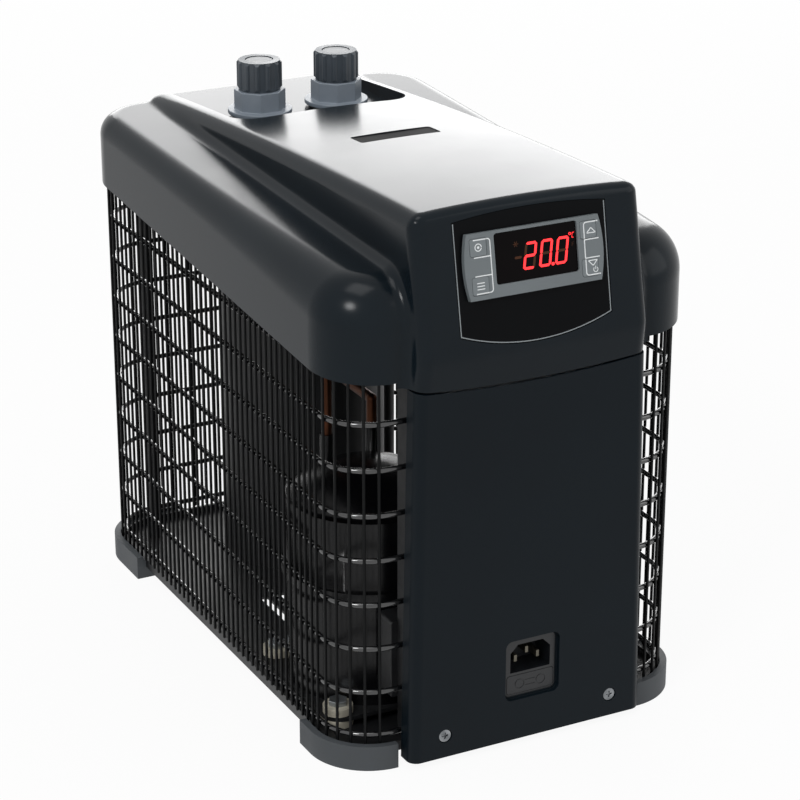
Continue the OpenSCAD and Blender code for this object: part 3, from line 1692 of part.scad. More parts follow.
module filter_drier() {
  r = drier_d / 2;
  color([0.72, 0.46, 0.3]) translate([drier_x, drier_y, drier_low_h]) rotate_extrude() polygon([
    [0, 0], [line_d / 2, 0], [line_d / 2, drier_cone], [r, 2 * drier_cone],
    [r, drier_len - 2 * drier_cone], [line_d / 2, drier_len - drier_cone],
    [line_d / 2, drier_len], [0, drier_len]
  ]);
}

stub_top_h = can_bottom_h + can_h + stub_len;
line_rise = 16;
line_top_h = stub_top_h + line_rise;
coil_end_h = tank_low_h + coil_low + coil_pitch * (coil_turns - 1) + coil_tube_d / 2 + fit_clear;
port_top_h = tank_top_h + lid_t + port_len;
tube_in_h = condenser_low_h + (pass_count - 1 + pass_share) * pass_pitch;
tube_out_h = condenser_low_h + pass_share * pass_pitch;
tube_end_y = condenser_y + condenser_len / 2 + tube_over;
line_route_y = tube_end_y + bend_r + tube_d;
lid_line_rise = 10;
lid_line_h = port_top_h + lid_line_rise;
drier_top_h = drier_low_h + drier_len;

// Four lines: hot gas out, liquid to the drier, drier to coil, cold gas back
module refrigerant_lines() {
  out_x = can_x + stub_out_x;
  in_x = can_x + stub_in_x;
  stub_line_y = can_y + stub_y;
  color([0.72, 0.42, 0.25]) {
    pipe([
      [out_x, stub_line_y, stub_top_h], [out_x, stub_line_y, line_top_h],
      [out_x, line_route_y, line_top_h], [condenser_x, line_route_y, line_top_h],
      [condenser_x, line_route_y, tube_in_h], [condenser_x, tube_end_y, tube_in_h]
    ], line_d);
    pipe([
      [condenser_x, tube_end_y, tube_out_h], [condenser_x, line_route_y, tube_out_h],
      [drier_x, drier_y, tube_out_h], [drier_x, drier_y, drier_low_h]
    ], line_d);
    pipe([
      [drier_x, drier_y, drier_top_h], [drier_x, drier_y, lid_line_h],
      [coil_port_x, drier_y, lid_line_h], [coil_port_x, union_y + coil_port_y, lid_line_h],
      [coil_port_x, union_y + coil_port_y, coil_end_h]
    ], line_d);
    pipe([
      [-coil_port_x, union_y + coil_port_y, coil_end_h],
      [-coil_port_x, union_y + coil_port_y, lid_line_h],
      [in_x, union_y + coil_port_y, lid_line_h], [in_x, stub_line_y, lid_line_h],
      [in_x, stub_line_y, stub_top_h]
    ], line_d);
  }
}

// Electrics

board_low_h = 92;
board_h = 96;
board_side = 11;
board_w = 2 * (frame_outer_x - board_side);
board_gap = 6;
board_x = 0;

module power_board() {
  back_y = frame_front_y + frame_sheet;
  color([0.12, 0.35, 0.22]) translate([board_x, back_y, board_low_h]) {
    for (sx = [-1, 1], sz = [board_pad, board_h - board_pad])
      translate([sx * (board_w / 2 - board_pad), 0, sz]) rotate([-90, 0, 0])
        cylinder(h = board_gap, d = board_pad);
    span([-board_w / 2, board_gap, 0], [board_w / 2, board_gap + board_t, board_h]);
    for (i = [0 : 2]) span(
      [-board_w / 2 + board_pad + i * relay_pitch, board_gap + board_t, board_pad],
      [-board_w / 2 + board_pad + i * relay_pitch + relay_w, board_gap + board_t + relay_deep, board_pad + relay_tall]
    );
    translate([board_w / 2 - cap_d, board_gap + board_t + cap_d / 2, board_pad])
      cylinder(h = cap_len, d = cap_d);
  }
}

board_pad = 8;
relay_pitch = 20;
relay_deep = 12;
relay_tall = 28;
cap_d = 14;
cap_len = 46;

cable_d = 4.5;

// Cables: inlet to board and board to compressor
module wiring() {
  back_y = frame_front_y + frame_sheet + board_gap + board_t;
  far_y = back_y + cable_run;
  top_h = board_low_h + cable_up;
  socket_h = inlet_h + cavity_mid;
  tab_y = panel_face_y + inlet_recess_depth + socket_depth + tab_len;
  cover_y = can_y - can_d / 2 - terminal_neck - cover_t / 2;
  cover_top = terminal_mid_h + cover_h / 2;
  color([0.15, 0.15, 0.16]) {
    pipe([
      [inlet_x, tab_y, socket_h], [inlet_x, tab_y + cable_run, socket_h],
      [inlet_x, tab_y + cable_run, board_low_h - cable_run],
      [inlet_x, far_y, top_h], [inlet_x, back_y, top_h]
    ], cable_d);
    pipe([
      [can_x, back_y, top_h], [can_x, far_y, top_h], [can_x, far_y, cover_top + cable_run],
      [can_x, cover_y, cover_top + cable_run], [can_x, cover_y, cover_top]
    ], cable_d);
  }
}

cable_run = 8;
cable_up = 60;

base_tray();
foot_front_left();
foot_front_right();
foot_rear_left();
foot_rear_right();
rear_posts();
front_frame();
front_panel();
panel_screws();
frame_screws();
grille_left_rods();
grille_left_wires();
grille_right_rods();
grille_right_wires();
grille_rear_rods();
grille_rear_wires();
hood();
badge_plate();
fascia_plate();
controller_housing();
controller_bezel();
display_window();
display_module();
controller_board();
controller_clips();
key_upper_left();
key_lower_left();
key_upper_right();
key_lower_right();
inlet_socket();
inlet_pins();
fuse_drawer();
fuse();
compressor_can();
compressor_plate();
compressor_grommets();
compressor_bolts();
terminal_cover();
condenser_fins();
condenser_tube();
fan_shroud();
motor_bracket();
fan_motor();
fan_rotor();
tank();
tank_lid();
evaporator_coil();
riser_hoses();
water_in_body();
water_out_body();
union_gaskets();
union_back_nuts();
water_in_nut();
water_out_nut();
water_in_disc();
water_out_disc();
filter_drier();
refrigerant_lines();
power_board();
wiring();
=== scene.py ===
"""Looks of a wire-caged aquarium chiller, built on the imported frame."""

import json
import logging
import math
from dataclasses import dataclass
from enum import Enum
from itertools import product
from typing import Callable

import bmesh
import bpy
import numpy as np
from mathutils import Matrix, Vector


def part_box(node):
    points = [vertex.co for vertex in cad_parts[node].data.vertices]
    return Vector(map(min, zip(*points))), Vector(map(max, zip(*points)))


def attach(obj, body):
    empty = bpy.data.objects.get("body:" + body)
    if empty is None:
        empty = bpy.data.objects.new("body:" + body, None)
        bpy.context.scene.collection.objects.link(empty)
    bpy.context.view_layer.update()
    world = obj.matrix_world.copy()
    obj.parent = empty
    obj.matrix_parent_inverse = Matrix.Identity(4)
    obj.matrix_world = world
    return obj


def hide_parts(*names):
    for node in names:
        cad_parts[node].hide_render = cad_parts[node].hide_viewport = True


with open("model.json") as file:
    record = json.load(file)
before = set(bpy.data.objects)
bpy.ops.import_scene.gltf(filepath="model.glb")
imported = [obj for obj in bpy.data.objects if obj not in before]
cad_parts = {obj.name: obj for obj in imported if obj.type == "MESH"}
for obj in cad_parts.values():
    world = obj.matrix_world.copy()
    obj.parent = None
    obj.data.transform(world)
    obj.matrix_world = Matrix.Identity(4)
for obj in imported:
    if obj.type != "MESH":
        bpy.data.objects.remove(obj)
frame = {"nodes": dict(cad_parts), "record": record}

log = logging.getLogger("chiller")
MM = 0.001
CHASSIS = "chassis"

# Short names for types
Item = bpy.types.Object
Mesh = bpy.types.Mesh
Node = bpy.types.Node
Socket = bpy.types.NodeSocket
Tree = bpy.types.NodeTree
Outline = list[tuple[float, float]]
Array = np.ndarray

# In copies of CAD nodes, points nearer than this become one, and faces flatter than this too
MERGE_M = 2e-6
FLAT_DEG = 0.6
# Edges sharper than this are broken, and stay sharp in the shading
EDGE_DEG = 38.0
# Noise between these values makes the soft patches; distance between these makes a board's tracks
PATCH_SPAN = (0.3, 0.7)
TRACK_SPAN = (0.08, 0.12)
# No surface is smoother than this
LEAST_ROUGHNESS = 0.02
# Brushing and drawing stretch the grain along z
BRUSHED_STRETCH = (1.0, 1.0, 0.04)
# Keeps a length from dividing by zero
TINY = 1e-9
# Points on a small round sign
SIGN_POINTS = 16


def linear(hex_colour: str) -> tuple[float, float, float, float]:
    """Turns six sRGB hex digits into a linear colour with alpha."""
    channels = [int(hex_colour[i : i + 2], 16) / 255 for i in (0, 2, 4)]
    lit = [c / 12.92 if c <= 0.04045 else ((c + 0.055) / 1.055) ** 2.4 for c in channels]
    return (lit[0], lit[1], lit[2], 1.0)


def add_node(tree: Tree, kind: str, values: dict | None = None, **settings) -> Node:
    """Adds one node, with its settings, and with values or links on its inputs.

    Args:
        tree: the node tree.
        kind: the node's type name.
        values: input name or index to a plain value, or to a node or an output to link from.
        settings: attributes of the node itself.

    Returns:
        The new node.
    """
    node = tree.nodes.new(kind)
    for name, value in settings.items():
        setattr(node, name, value)
    for key, value in (values or {}).items():
        source = value.outputs[0] if isinstance(value, Node) else value
        if isinstance(source, Socket):
            tree.links.new(source, node.inputs[key])
        else:
            node.inputs[key].default_value = source
    return node


def emptied(owner: bpy.types.Material | bpy.types.World) -> Tree:
    """The node tree of a material or a world, emptied."""
    owner.use_nodes = True
    owner.node_tree.nodes.clear()
    return owner.node_tree


def ramp(tree: Tree, value: Node, start: float, end: float, low: float = 0.0, high: float = 1.0) -> Node:
    """Adds a map of a value from start..end onto low..high."""
    spans = {"From Min": start, "From Max": end, "To Min": low, "To Max": high}
    return add_node(tree, "ShaderNodeMapRange", {"Value": value, **spans})


def pattern(tree: Tree, kind: str, place: Node | Socket, size_mm: float, values: dict, **settings) -> Node:
    """Adds a pattern whose features are about size_mm wide."""
    return add_node(tree, kind, {"Vector": place, "Scale": 1 / (size_mm * MM), **values}, **settings)


class Surface(Enum):
    """How a surface was made, which sets the pattern on it."""

    MOULDED = "moulded"
    TEXTURED = "spark-textured"
    COATED = "powder coated"
    BRUSHED = "brushed or drawn"
    RUBBER = "moulded rubber"
    BOARD = "printed board"
    LIT = "lit"


@dataclass(frozen=True)
class Finish:
    """One real material, with how it was made and what that gives the eye."""

    name: str
    colour: str
    shade: str = ""
    surface: Surface = Surface.MOULDED
    roughness: float = 0.4
    spread: float = 0.05
    metallic: float = 0.0
    ior: float = 1.5
    gloss: float = 0.5
    coat: float = 0.0
    coat_roughness: float = 0.05
    glow: float = 0.0
    grain_mm: float = 0.8
    relief_mm: float = 0.01
    patch_mm: float = 60.0

    def build(self) -> bpy.types.Material:
        """Makes the node material, or returns the one already made."""
        made = bpy.data.materials.get(self.name)
        if made:
            return made
        material = bpy.data.materials.new(self.name)
        tree = emptied(material)
        place = add_node(tree, "ShaderNodeTexCoord").outputs["Object"]
        values = {
            "Metallic": self.metallic,
            "IOR": self.ior,
            "Specular IOR Level": self.gloss,
            "Coat Weight": self.coat,
            "Coat Roughness": self.coat_roughness,
        }
        if self.surface is Surface.LIT:
            values["Emission Color"] = linear(self.colour)
            values["Emission Strength"] = self.glow
        shader = add_node(tree, "ShaderNodeBsdfPrincipled", values)
        self._colour_nodes(tree, place, shader)
        self._relief_nodes(tree, place, shader)
        add_node(tree, "ShaderNodeOutputMaterial", {"Surface": shader})
        return material

    def _colour_nodes(self, tree: Tree, place: Socket, shader: Node) -> None:
        """Joins the colour and the roughness, both uneven in soft patches."""
        soft = {"Detail": 4.0, "Roughness": 0.55}
        patch = pattern(tree, "ShaderNodeTexNoise", place, self.patch_mm, soft)
        if self.surface is Surface.BOARD:
            tracks = pattern(tree, "ShaderNodeTexVoronoi", place, self.grain_mm, {"Randomness": 0.6},
                             distance="CHEBYCHEV", feature="DISTANCE_TO_EDGE")
            share = ramp(tree, tracks, *TRACK_SPAN)
        else:
            share = ramp(tree, patch, *PATCH_SPAN)
        tones = {"Factor": share, 6: linear(self.shade or self.colour), 7: linear(self.colour)}
        mix = add_node(tree, "ShaderNodeMix", tones, data_type="RGBA")
        tree.links.new(mix.outputs[2], shader.inputs["Base Color"])
        low = max(self.roughness - self.spread, LEAST_ROUGHNESS)
        high = min(self.roughness + self.spread, 1.0)
        rough = ramp(tree, patch, *PATCH_SPAN, low, high)
        tree.links.new(rough.outputs[0], shader.inputs["Roughness"])

    def _relief_nodes(self, tree: Tree, place: Socket, shader: Node) -> None:
        """Joins the fine relief that the way of making leaves."""
        if self.relief_mm <= 0:
            return
        stretch = BRUSHED_STRETCH if self.surface is Surface.BRUSHED else (1.0, 1.0, 1.0)
        along = add_node(tree, "ShaderNodeMapping", {"Vector": place, "Scale": stretch})
        if self.surface in (Surface.TEXTURED, Surface.RUBBER):
            grain = pattern(tree, "ShaderNodeTexVoronoi", along, self.grain_mm, {}, feature="SMOOTH_F1")
        else:
            grain = pattern(tree, "ShaderNodeTexNoise", along, self.grain_mm, {"Detail": 3.0})
        relief = {"Height": grain, "Distance": self.relief_mm * MM, "Strength": 1.0}
        bump = add_node(tree, "ShaderNodeBump", relief)
        tree.links.new(bump.outputs[0], shader.inputs["Normal"])


# Polished black ABS of the hood: deep blue-black, its polish a little uneven
HOOD_ABS = Finish("hood gloss ABS", "10191f", "0d151b", roughness=0.2, spread=0.03, gloss=0.14,
                  grain_mm=1.6, relief_mm=0.004, patch_mm=90)
# Satin black ABS of the front panel: its moulded grain holds part of the light back
PANEL_ABS = Finish("panel satin ABS", "0c151b", "0a1218", Surface.TEXTURED, roughness=0.38,
                   spread=0.04, gloss=0.12, grain_mm=0.7, relief_mm=0.008, patch_mm=80)
# Fine-sparked grey ABS of the controller's bezel: even and matt
BEZEL_ABS = Finish("bezel sparked ABS", "6b7275", "646a6d", Surface.TEXTURED, roughness=0.42,
                   grain_mm=0.35, relief_mm=0.006)
# Moulded silicone of the keys: a soft grey, a shade lighter than the bezel
KEY_SILICONE = Finish("key silicone", "747b7e", "6e7477", roughness=0.5, grain_mm=0.5, relief_mm=0.004)
# Screen-printed ink of the signs: near white, matt
SIGN_INK = Finish("sign ink", "e4e7e8", roughness=0.5, grain_mm=0.4, relief_mm=0.001)
# Printed fascia film with an anti-glare face: it stays black beside the glossier hood
PLATE_FILM = Finish("fascia film", "08090b", roughness=0.3, spread=0.03, ior=1.49, gloss=0.06,
                    grain_mm=0.6, relief_mm=0.0015)
# Moulded badge insert: plain black, the flattest surface on the hood
BADGE_ABS = Finish("badge ABS", "030304", roughness=0.75, gloss=0.15, grain_mm=0.5, relief_mm=0.006)
# Smoked polycarbonate of the display window: black, smooth and nearly without a glint
WINDOW_PC = Finish("window polycarbonate", "050203", roughness=0.12, spread=0.02, ior=1.58,
                   gloss=0.05, relief_mm=0.0)
# Painted highlight along the fascia plate's rim: a mid grey line that stands in for light on the plate's
# bevelled edge
RIM_HIGHLIGHT_PAINT = Finish("painted rim highlight", "858b8e", grain_mm=0.4, relief_mm=0.001)
# Lit segments: they glow red
LED_RED = Finish("lit segments", "ff2a2e", surface=Surface.LIT, roughness=0.5, glow=1.5, relief_mm=0.0)
# Unlit segments: brown, with a faint painted glow that stands in for light they catch behind the smoked
# window
LED_DARK_PAINTED_GLOW = Finish("unlit segments", "40281c", surface=Surface.LIT, roughness=0.5, gloss=0.05,
                  glow=0.3, relief_mm=0.0)
# Plastic-dipped steel wires of the cage: near black, with the slight waves of a dip
WIRE_DIP = Finish("wire plastic dip", "08090a", "050607", Surface.COATED, roughness=0.45,
                  spread=0.06, gloss=0.15, grain_mm=3.0, relief_mm=0.02, patch_mm=25)
# Thicker dip of the cage's rods: wet-looking, with long bright glints at the corners
ROD_DIP = Finish("rod plastic dip", "0a0b0d", "07080a", Surface.COATED, roughness=0.16,
                 spread=0.04, coat=1.0, grain_mm=4.0, relief_mm=0.02, patch_mm=25)
# Powder-coated steel of the tray: black with a fine orange peel
TRAY_COAT = Finish("tray powder coat", "141517", surface=Surface.COATED, roughness=0.5, grain_mm=0.5,
                   relief_mm=0.02)
# Moulded rubber feet: dark grey, matt, with a light bloom
FOOT_RUBBER = Finish("foot rubber", "43474b", "3a3e41", Surface.RUBBER, roughness=0.62,
                     spread=0.07, grain_mm=0.9, patch_mm=30)
# Moulded PVC of the union bodies: blue-grey with a soft sheen
UNION_PVC = Finish("union PVC", "7f8892", "757e88", ior=1.53, grain_mm=1.0, relief_mm=0.006,
                   patch_mm=18)
# Dark PVC of the ribbed nuts: a soft sheen on the ribs
NUT_PVC = Finish("nut PVC", "3a424a", "31383f", roughness=0.42, spread=0.06, ior=1.53,
                 grain_mm=0.9, relief_mm=0.008, patch_mm=15)
# Light PVC discs in the nuts: pale grey, matt
DISC_PVC = Finish("disc PVC", "9b9d9f", "8f9193", roughness=0.5, patch_mm=10)
# Nitrile of gaskets and hoses: black, matt
NITRILE = Finish("nitrile rubber", "1c1d1f", surface=Surface.RUBBER, roughness=0.6, grain_mm=0.7)
# Moulded polyamide of the mains inlet: black with a fine spark
INLET_PA = Finish("inlet polyamide", "14161a", "101215", Surface.TEXTURED, roughness=0.36,
                  grain_mm=0.5, relief_mm=0.006, patch_mm=12)
# Nickelled brass pins: warm grey, drawn lengthways
PIN_NICKEL = Finish("nickelled brass", "69655b", surface=Surface.BRUSHED, metallic=1.0,
                    roughness=0.45, grain_mm=0.4, relief_mm=0.004)
# Zinc-plated heads of the panel's screws: a little dull and cloudy
SCREW_ZINC = Finish("dull zinc plate", "9a9da0", "6a6d70", metallic=1.0, roughness=0.34,
                    spread=0.1, grain_mm=0.6, patch_mm=4)
# Bright zinc plate of the inner screws
ZINC = Finish("zinc plate", "b4b8bb", "a3a9ae", metallic=1.0, roughness=0.35, spread=0.08,
              grain_mm=0.5, relief_mm=0.006, patch_mm=12)
# Sheet steel of the frame, the posts and the shroud: near black and matt, the black partly painted shade
# for the dim inside behind the cage
DARK_SHEET_AND_PAINTED_SHADE = Finish("dark sheet steel with painted shade", "17181a", "121315", Surface.COATED, roughness=0.5,
                    spread=0.1, grain_mm=1.0, relief_mm=0.008, patch_mm=14)
# Sprayed enamel of the compressor's can: black with long soft glints
CAN_ENAMEL = Finish("can enamel", "08080a", surface=Surface.COATED, roughness=0.22, gloss=0.3,
                    grain_mm=4.0, relief_mm=0.02, patch_mm=40)
# Pale rubber grommets, a little yellowed
GROMMET = Finish("pale grommet rubber", "cfcabb", "bdb7a6", Surface.RUBBER, roughness=0.65,
                 relief_mm=0.02)
# Drawn copper tube, its colour darkened to a dull brown: painted shade for the dim inside of the cage
COPPER_IN_PAINTED_SHADE = Finish("drawn copper, darkened as painted shade", "5c3a2a", "3a251b", Surface.BRUSHED, metallic=1.0,
                roughness=0.42, spread=0.08, relief_mm=0.006, patch_mm=30)
# Rolled aluminium of the fins: bright along the folds
FIN_ALUMINIUM = Finish("fin aluminium", "c9ccce", "b4b8bb", Surface.BRUSHED, metallic=1.0,
                       roughness=0.33, grain_mm=0.6, relief_mm=0.004, patch_mm=20)
# Drawn titanium tube of the coil: grey metal
TITANIUM = Finish("titanium tube", "8b8a88", surface=Surface.BRUSHED, metallic=1.0, roughness=0.38)
# Plain dark polypropylene mouldings: housing, fan, cover, back nuts
DARK_PP = Finish("dark polypropylene", "1b1c1e", "161719", roughness=0.45)
# Moulded polypropylene of the tank: dark, with a coarser skin
TANK_PP = Finish("tank polypropylene", "1a1b1d", "161719", roughness=0.5, grain_mm=1.2,
                 relief_mm=0.015)
# Sprayed enamel of the fan's motor: mid grey
MOTOR_ENAMEL = Finish("motor enamel", "5b5f63", surface=Surface.COATED, roughness=0.45)
# Epoxy glass board: green, its tracks a shade lighter
BOARD_FR4 = Finish("epoxy glass board", "12502c", "1c7040", Surface.BOARD, roughness=0.35,
                   grain_mm=6.0, relief_mm=0.0)
# Extruded sheath of the cables: black, matt
SHEATH = Finish("cable sheath", "17181a", roughness=0.5, grain_mm=0.6)
# Moulded acetal clips: orange
CLIP_POM = Finish("clip acetal", "d8651a", relief_mm=0.006)
# Drawn glass of the fuse: pale and smooth
FUSE_GLASS = Finish("fuse glass", "dfe4e6", roughness=0.1, relief_mm=0.0)


def slot_of(node: str) -> str:
    """The record's material slot of a CAD node."""
    for part in frame["record"]["subparts"]:
        if part["node"] == node:
            return part["material_slot"]
    return ""


def body_of(node: str) -> str:
    """The body that a CAD node belongs to."""
    for body, members in frame["record"]["behaviour"]["bodies"].items():
        if node in members:
            return body
    return CHASSIS


def link(name: str, data: bpy.types.ID) -> Item:
    """Links a mesh, a light or a camera as an object."""
    item = bpy.data.objects.new(name, data)
    bpy.context.scene.collection.objects.link(item)
    return item


def from_bmesh(work: bmesh.types.BMesh, name: str) -> Mesh:
    """A new mesh from a bmesh, which is freed."""
    mesh = bpy.data.meshes.new(name)
    work.to_mesh(mesh)
    work.free()
    return mesh


def new_piece(name: str, mesh: Mesh, finish: Finish, node: str) -> Item:
    """Links a finished mesh as a piece that rides a CAD node's body.

    Args:
        name: the piece's name.
        mesh: its mesh, already in place.
        finish: its one finish.
        node: the CAD node whose body it takes.

    Returns:
        The new object.
    """
    mesh.materials.clear()
    mesh.materials.append(finish.build())
    piece = link(name, mesh)
    body, slot = body_of(node), slot_of(node)
    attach(piece, body)
    return piece


def dress(finish: Finish, *nodes: str) -> None:
    """Gives CAD nodes their material."""
    for node in nodes:
        item = frame["nodes"][node]
        if not item.material_slots:
            item.data.materials.append(finish.build())
        for place in item.material_slots:
            place.material = finish.build()


def baked(item: Item) -> Mesh:
    """The object's mesh with its modifiers worked in; the object is removed."""
    depsgraph = bpy.context.evaluated_depsgraph_get()
    mesh = bpy.data.meshes.new_from_object(item.evaluated_get(depsgraph))
    bpy.data.objects.remove(item)
    return mesh


def crisp(mesh: Mesh, degrees: float = 32.0) -> None:
    """Smooths the shading across edges flatter than an angle."""
    mesh.shade_smooth()
    mesh.set_sharp_from_angle(angle=math.radians(degrees))


def refined(finish: Finish, edge_mm: float, *nodes: str) -> None:
    """Puts copies of CAD nodes, with broken edges and smooth round faces, in their place.

    Args:
        finish: the finish of the copies.
        edge_mm: width of the broken edges, none if zero.
        nodes: the CAD nodes.
    """
    for node in nodes:
        work = bmesh.new()
        work.from_mesh(frame["nodes"][node].data)
        bmesh.ops.remove_doubles(work, verts=work.verts, dist=MERGE_M)
        flat = math.radians(FLAT_DEG)
        bmesh.ops.dissolve_limit(
            work, angle_limit=flat, verts=work.verts, edges=work.edges, delimit={"NORMAL"}
        )
        item = link("edges_work", from_bmesh(work, node + "_skin"))
        if edge_mm > 0:
            bevel = item.modifiers.new("edges", "BEVEL")
            bevel.width = edge_mm * MM
            bevel.segments = 2
            bevel.limit_method = "ANGLE"
            bevel.angle_limit = math.radians(EDGE_DEG)
            bevel.use_clamp_overlap = True
        mesh = baked(item)
        crisp(mesh, EDGE_DEG)
        item = link("even_work", mesh)
        even = item.modifiers.new("even", "WEIGHTED_NORMAL")
        even.keep_sharp = True
        piece = new_piece(node + "_skin", baked(item), finish, node)
        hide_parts(node)


def new_group(name: str, inputs: dict[str, str]) -> tuple[Tree, bpy.types.bpy_prop_collection]:
    """Starts a geometry nodes tree.

    Args:
        name: the tree's name.
        inputs: input name to socket kind; Geometry and Finish are added round them.

    Returns:
        The tree, and the outputs of its input node.
    """
    tree = bpy.data.node_groups.new(name, "GeometryNodeTree")
    kinds = {"Geometry": "Geometry", **inputs, "Finish": "Material"}
    for label, kind in kinds.items():
        tree.interface.new_socket(label, in_out="INPUT", socket_type="NodeSocket" + kind)
    tree.interface.new_socket("Geometry", in_out="OUTPUT", socket_type="NodeSocketGeometry")
    return tree, add_node(tree, "NodeGroupInput").outputs


def end_group(tree: Tree, finish: Socket, points: Node | Socket, shape: Node | Socket) -> Tree:
    """Puts a shape on points, realizes it, gives it its material and ends the tree."""
    put = add_node(tree, "GeometryNodeInstanceOnPoints", {"Points": points, "Instance": shape})
    real = add_node(tree, "GeometryNodeRealizeInstances", {"Geometry": put})
    coat = add_node(tree, "GeometryNodeSetMaterial", {"Geometry": real, "Material": finish})
    add_node(tree, "NodeGroupOutput", {"Geometry": coat})
    return tree


def grown(base: Mesh, tree: Tree, values: dict) -> Mesh:
    """Runs a geometry nodes tree on a mesh.

    Args:
        base: the mesh that goes in.
        tree: the node tree.
        values: input name to value.

    Returns:
        The mesh that comes out.
    """
    item = link("grow_work", base)
    step = item.modifiers.new("grow", "NODES")
    step.node_group = tree
    for entry in tree.interface.items_tree:
        if entry.in_out == "INPUT" and entry.name in values:
            step[entry.identifier] = values[entry.name]
    return baked(item)


@dataclass
class Measure:
    """Sizes that several sub-assemblies share, in millimetres and degrees."""

    nose_y: float = -181.8
    nose_h: float = 236.0
    lean: float = 10.5
    panel_y: float = -179.1
    cage_front_y: float = -165.9
    cage_rear_y: float = 177.6
    cage_half_w: float = 107.8
    cage_corner_r: float = 31.5
    seam_h: float = 219.7
    seam_drop: float = 3.4
    taper: float = 0.96
    half_w: float = 73.0

    def side_x(self, height: float | Array) -> float | Array:
        """Half width of the panel and of the hood's spine at a height."""
        return self.half_w - height * math.tan(math.radians(self.taper))

    def face_matrix(self) -> Matrix:
        """Places the leaning face's plane: u to the right, v up the slope, w outwards."""
        turn = Matrix.Rotation(math.radians(90 - self.lean), 4, "X")
        return Matrix.Translation(Vector((0, self.nose_y, self.nose_h)) * MM) @ turn

    def cage_bends(self) -> tuple[float, float, float]:
        """Middles of the cage's bends: their x, their y in front and their y behind."""
        r = self.cage_corner_r
        return self.cage_half_w - r, self.cage_front_y + r, self.cage_rear_y - r


SIZES = Measure()


@dataclass
class FieldMesh:
    """Turns a solid, given by a distance-like field, into a fine closed mesh.

    The field takes x, y and z arrays in millimetres and is negative inside. It is
    sampled in cells of one step between the corners low and high.
    """

    field: Callable
    low: tuple
    high: tuple
    step: float
    reach: float = 0.05
    least_slope: float = 0.2

    def gradient(self, points: Array) -> Array:
        """The field's slope at points, outwards."""
        parts = []
        for axis in range(3):
            shift = np.zeros(3)
            shift[axis] = self.reach
            ahead = self.field(*(points + shift).T)
            behind = self.field(*(points - shift).T)
            parts.append((ahead - behind) / (2 * self.reach))
        return np.stack(parts, axis=1)

    def settle(self, points: Array, rounds: int = 4) -> Array:
        """Moves points onto the solid's skin, a step at most in each round."""
        for _ in range(rounds):
            slope = self.gradient(points)
            size = np.maximum((slope**2).sum(axis=1), self.least_slope)
            shift = (self.field(*points.T) / size)[:, None] * slope
            length = np.linalg.norm(shift, axis=1, keepdims=True)
            points = points - shift * np.minimum(1.0, self.step / np.maximum(length, TINY))
        return points

    def sampled(self) -> Array:
        """The field at the grid's points, kept outside on the grid's rim."""
        low, high = np.array(self.low, float), np.array(self.high, float)
        counts = np.ceil((high - low) / self.step).astype(int) + 1
        axes = [low[i] + self.step * np.arange(counts[i]) for i in range(3)]
        grid = np.meshgrid(*axes, indexing="ij")
        value = self.field(*[g.ravel() for g in grid]).reshape(counts)
        rim = np.ones_like(value)
        rim[1:-1, 1:-1, 1:-1] = 0
        return np.where(rim > 0, np.maximum(value, self.step), value)

    def crossings(self, value: Array) -> tuple[Array, Array]:
        """Sums, for each cell, the points where its edges cross the skin, and their number."""
        counts = value.shape
        cells = tuple(n - 1 for n in counts)
        sums, hits = np.zeros(cells + (3,)), np.zeros(cells)
        for axis in range(3):
            others = [a for a in range(3) if a != axis]
            for corner in product((0, 1), repeat=2):
                start = [0, 0, 0]
                start[others[0]], start[others[1]] = corner
                end = list(start)
                end[axis] += 1
                va = value[tuple(slice(start[i], cells[i] + start[i]) for i in range(3))]
                vb = value[tuple(slice(end[i], cells[i] + end[i]) for i in range(3))]
                crossed = (va < 0) != (vb < 0)
                share = np.where(crossed, va / np.where(crossed, va - vb, 1), 0)
                for i in range(3):
                    place = share if i == axis else np.full(cells, float(start[i]))
                    sums[..., i] += np.where(crossed, place, 0)
                hits += crossed
        return sums, hits

    def quads(self, inside: Array, index: Array) -> Array:
        """Faces between the cells round each grid edge that crosses the skin.

        Args:
            inside: for each grid point, whether it lies in the solid.
            index: for each cell, the number of its point.

        Returns:
            Four point numbers for each face, in order seen from outside.
        """
        faces = []
        for axis in range(3):
            u, v = (axis + 1) % 3, (axis + 2) % 3
            near, far = (
                inside[tuple(
                    slice(start, n - 1 + start) if i == axis else slice(1, n - 1)
                    for i, n in enumerate(inside.shape)
                )]
                for start in (0, 1)
            )
            flip = near != far
            spots = np.argwhere(flip) + 1
            spots[:, axis] -= 1
            corners = []
            for du, dv in ((-1, -1), (0, -1), (0, 0), (-1, 0)):
                cell = spots.copy()
                cell[:, u] += du
                cell[:, v] += dv
                corners.append(index[tuple(cell.T)])
            ring = np.stack(corners, axis=1)
            entering = ~near[flip]
            ring[entering] = ring[entering][:, ::-1]
            faces.append(ring)
        return np.concatenate(faces)

    def mesh(self, name: str) -> Mesh:
        """Builds the mesh, in metres, from one point in each crossed cell."""
        low, high = np.array(self.low, float), np.array(self.high, float)
        value = self.sampled()
        sums, hits = self.crossings(value)
        crossed = hits > 0
        index = np.full(hits.shape, -1)
        index[crossed] = np.arange(crossed.sum())
        points = low + self.step * (np.argwhere(crossed) + sums[crossed] / hits[crossed][:, None])
        inner = ((points > low + self.step) & (points < high - self.step)).all(axis=1)
        moved = self.settle(points.copy())
        points[inner] = moved[inner]
        mesh = bpy.data.meshes.new(name)
        mesh.from_pydata((points * MM).tolist(), [], self.quads(value < 0, index).tolist())
        mesh.validate()
        return mesh


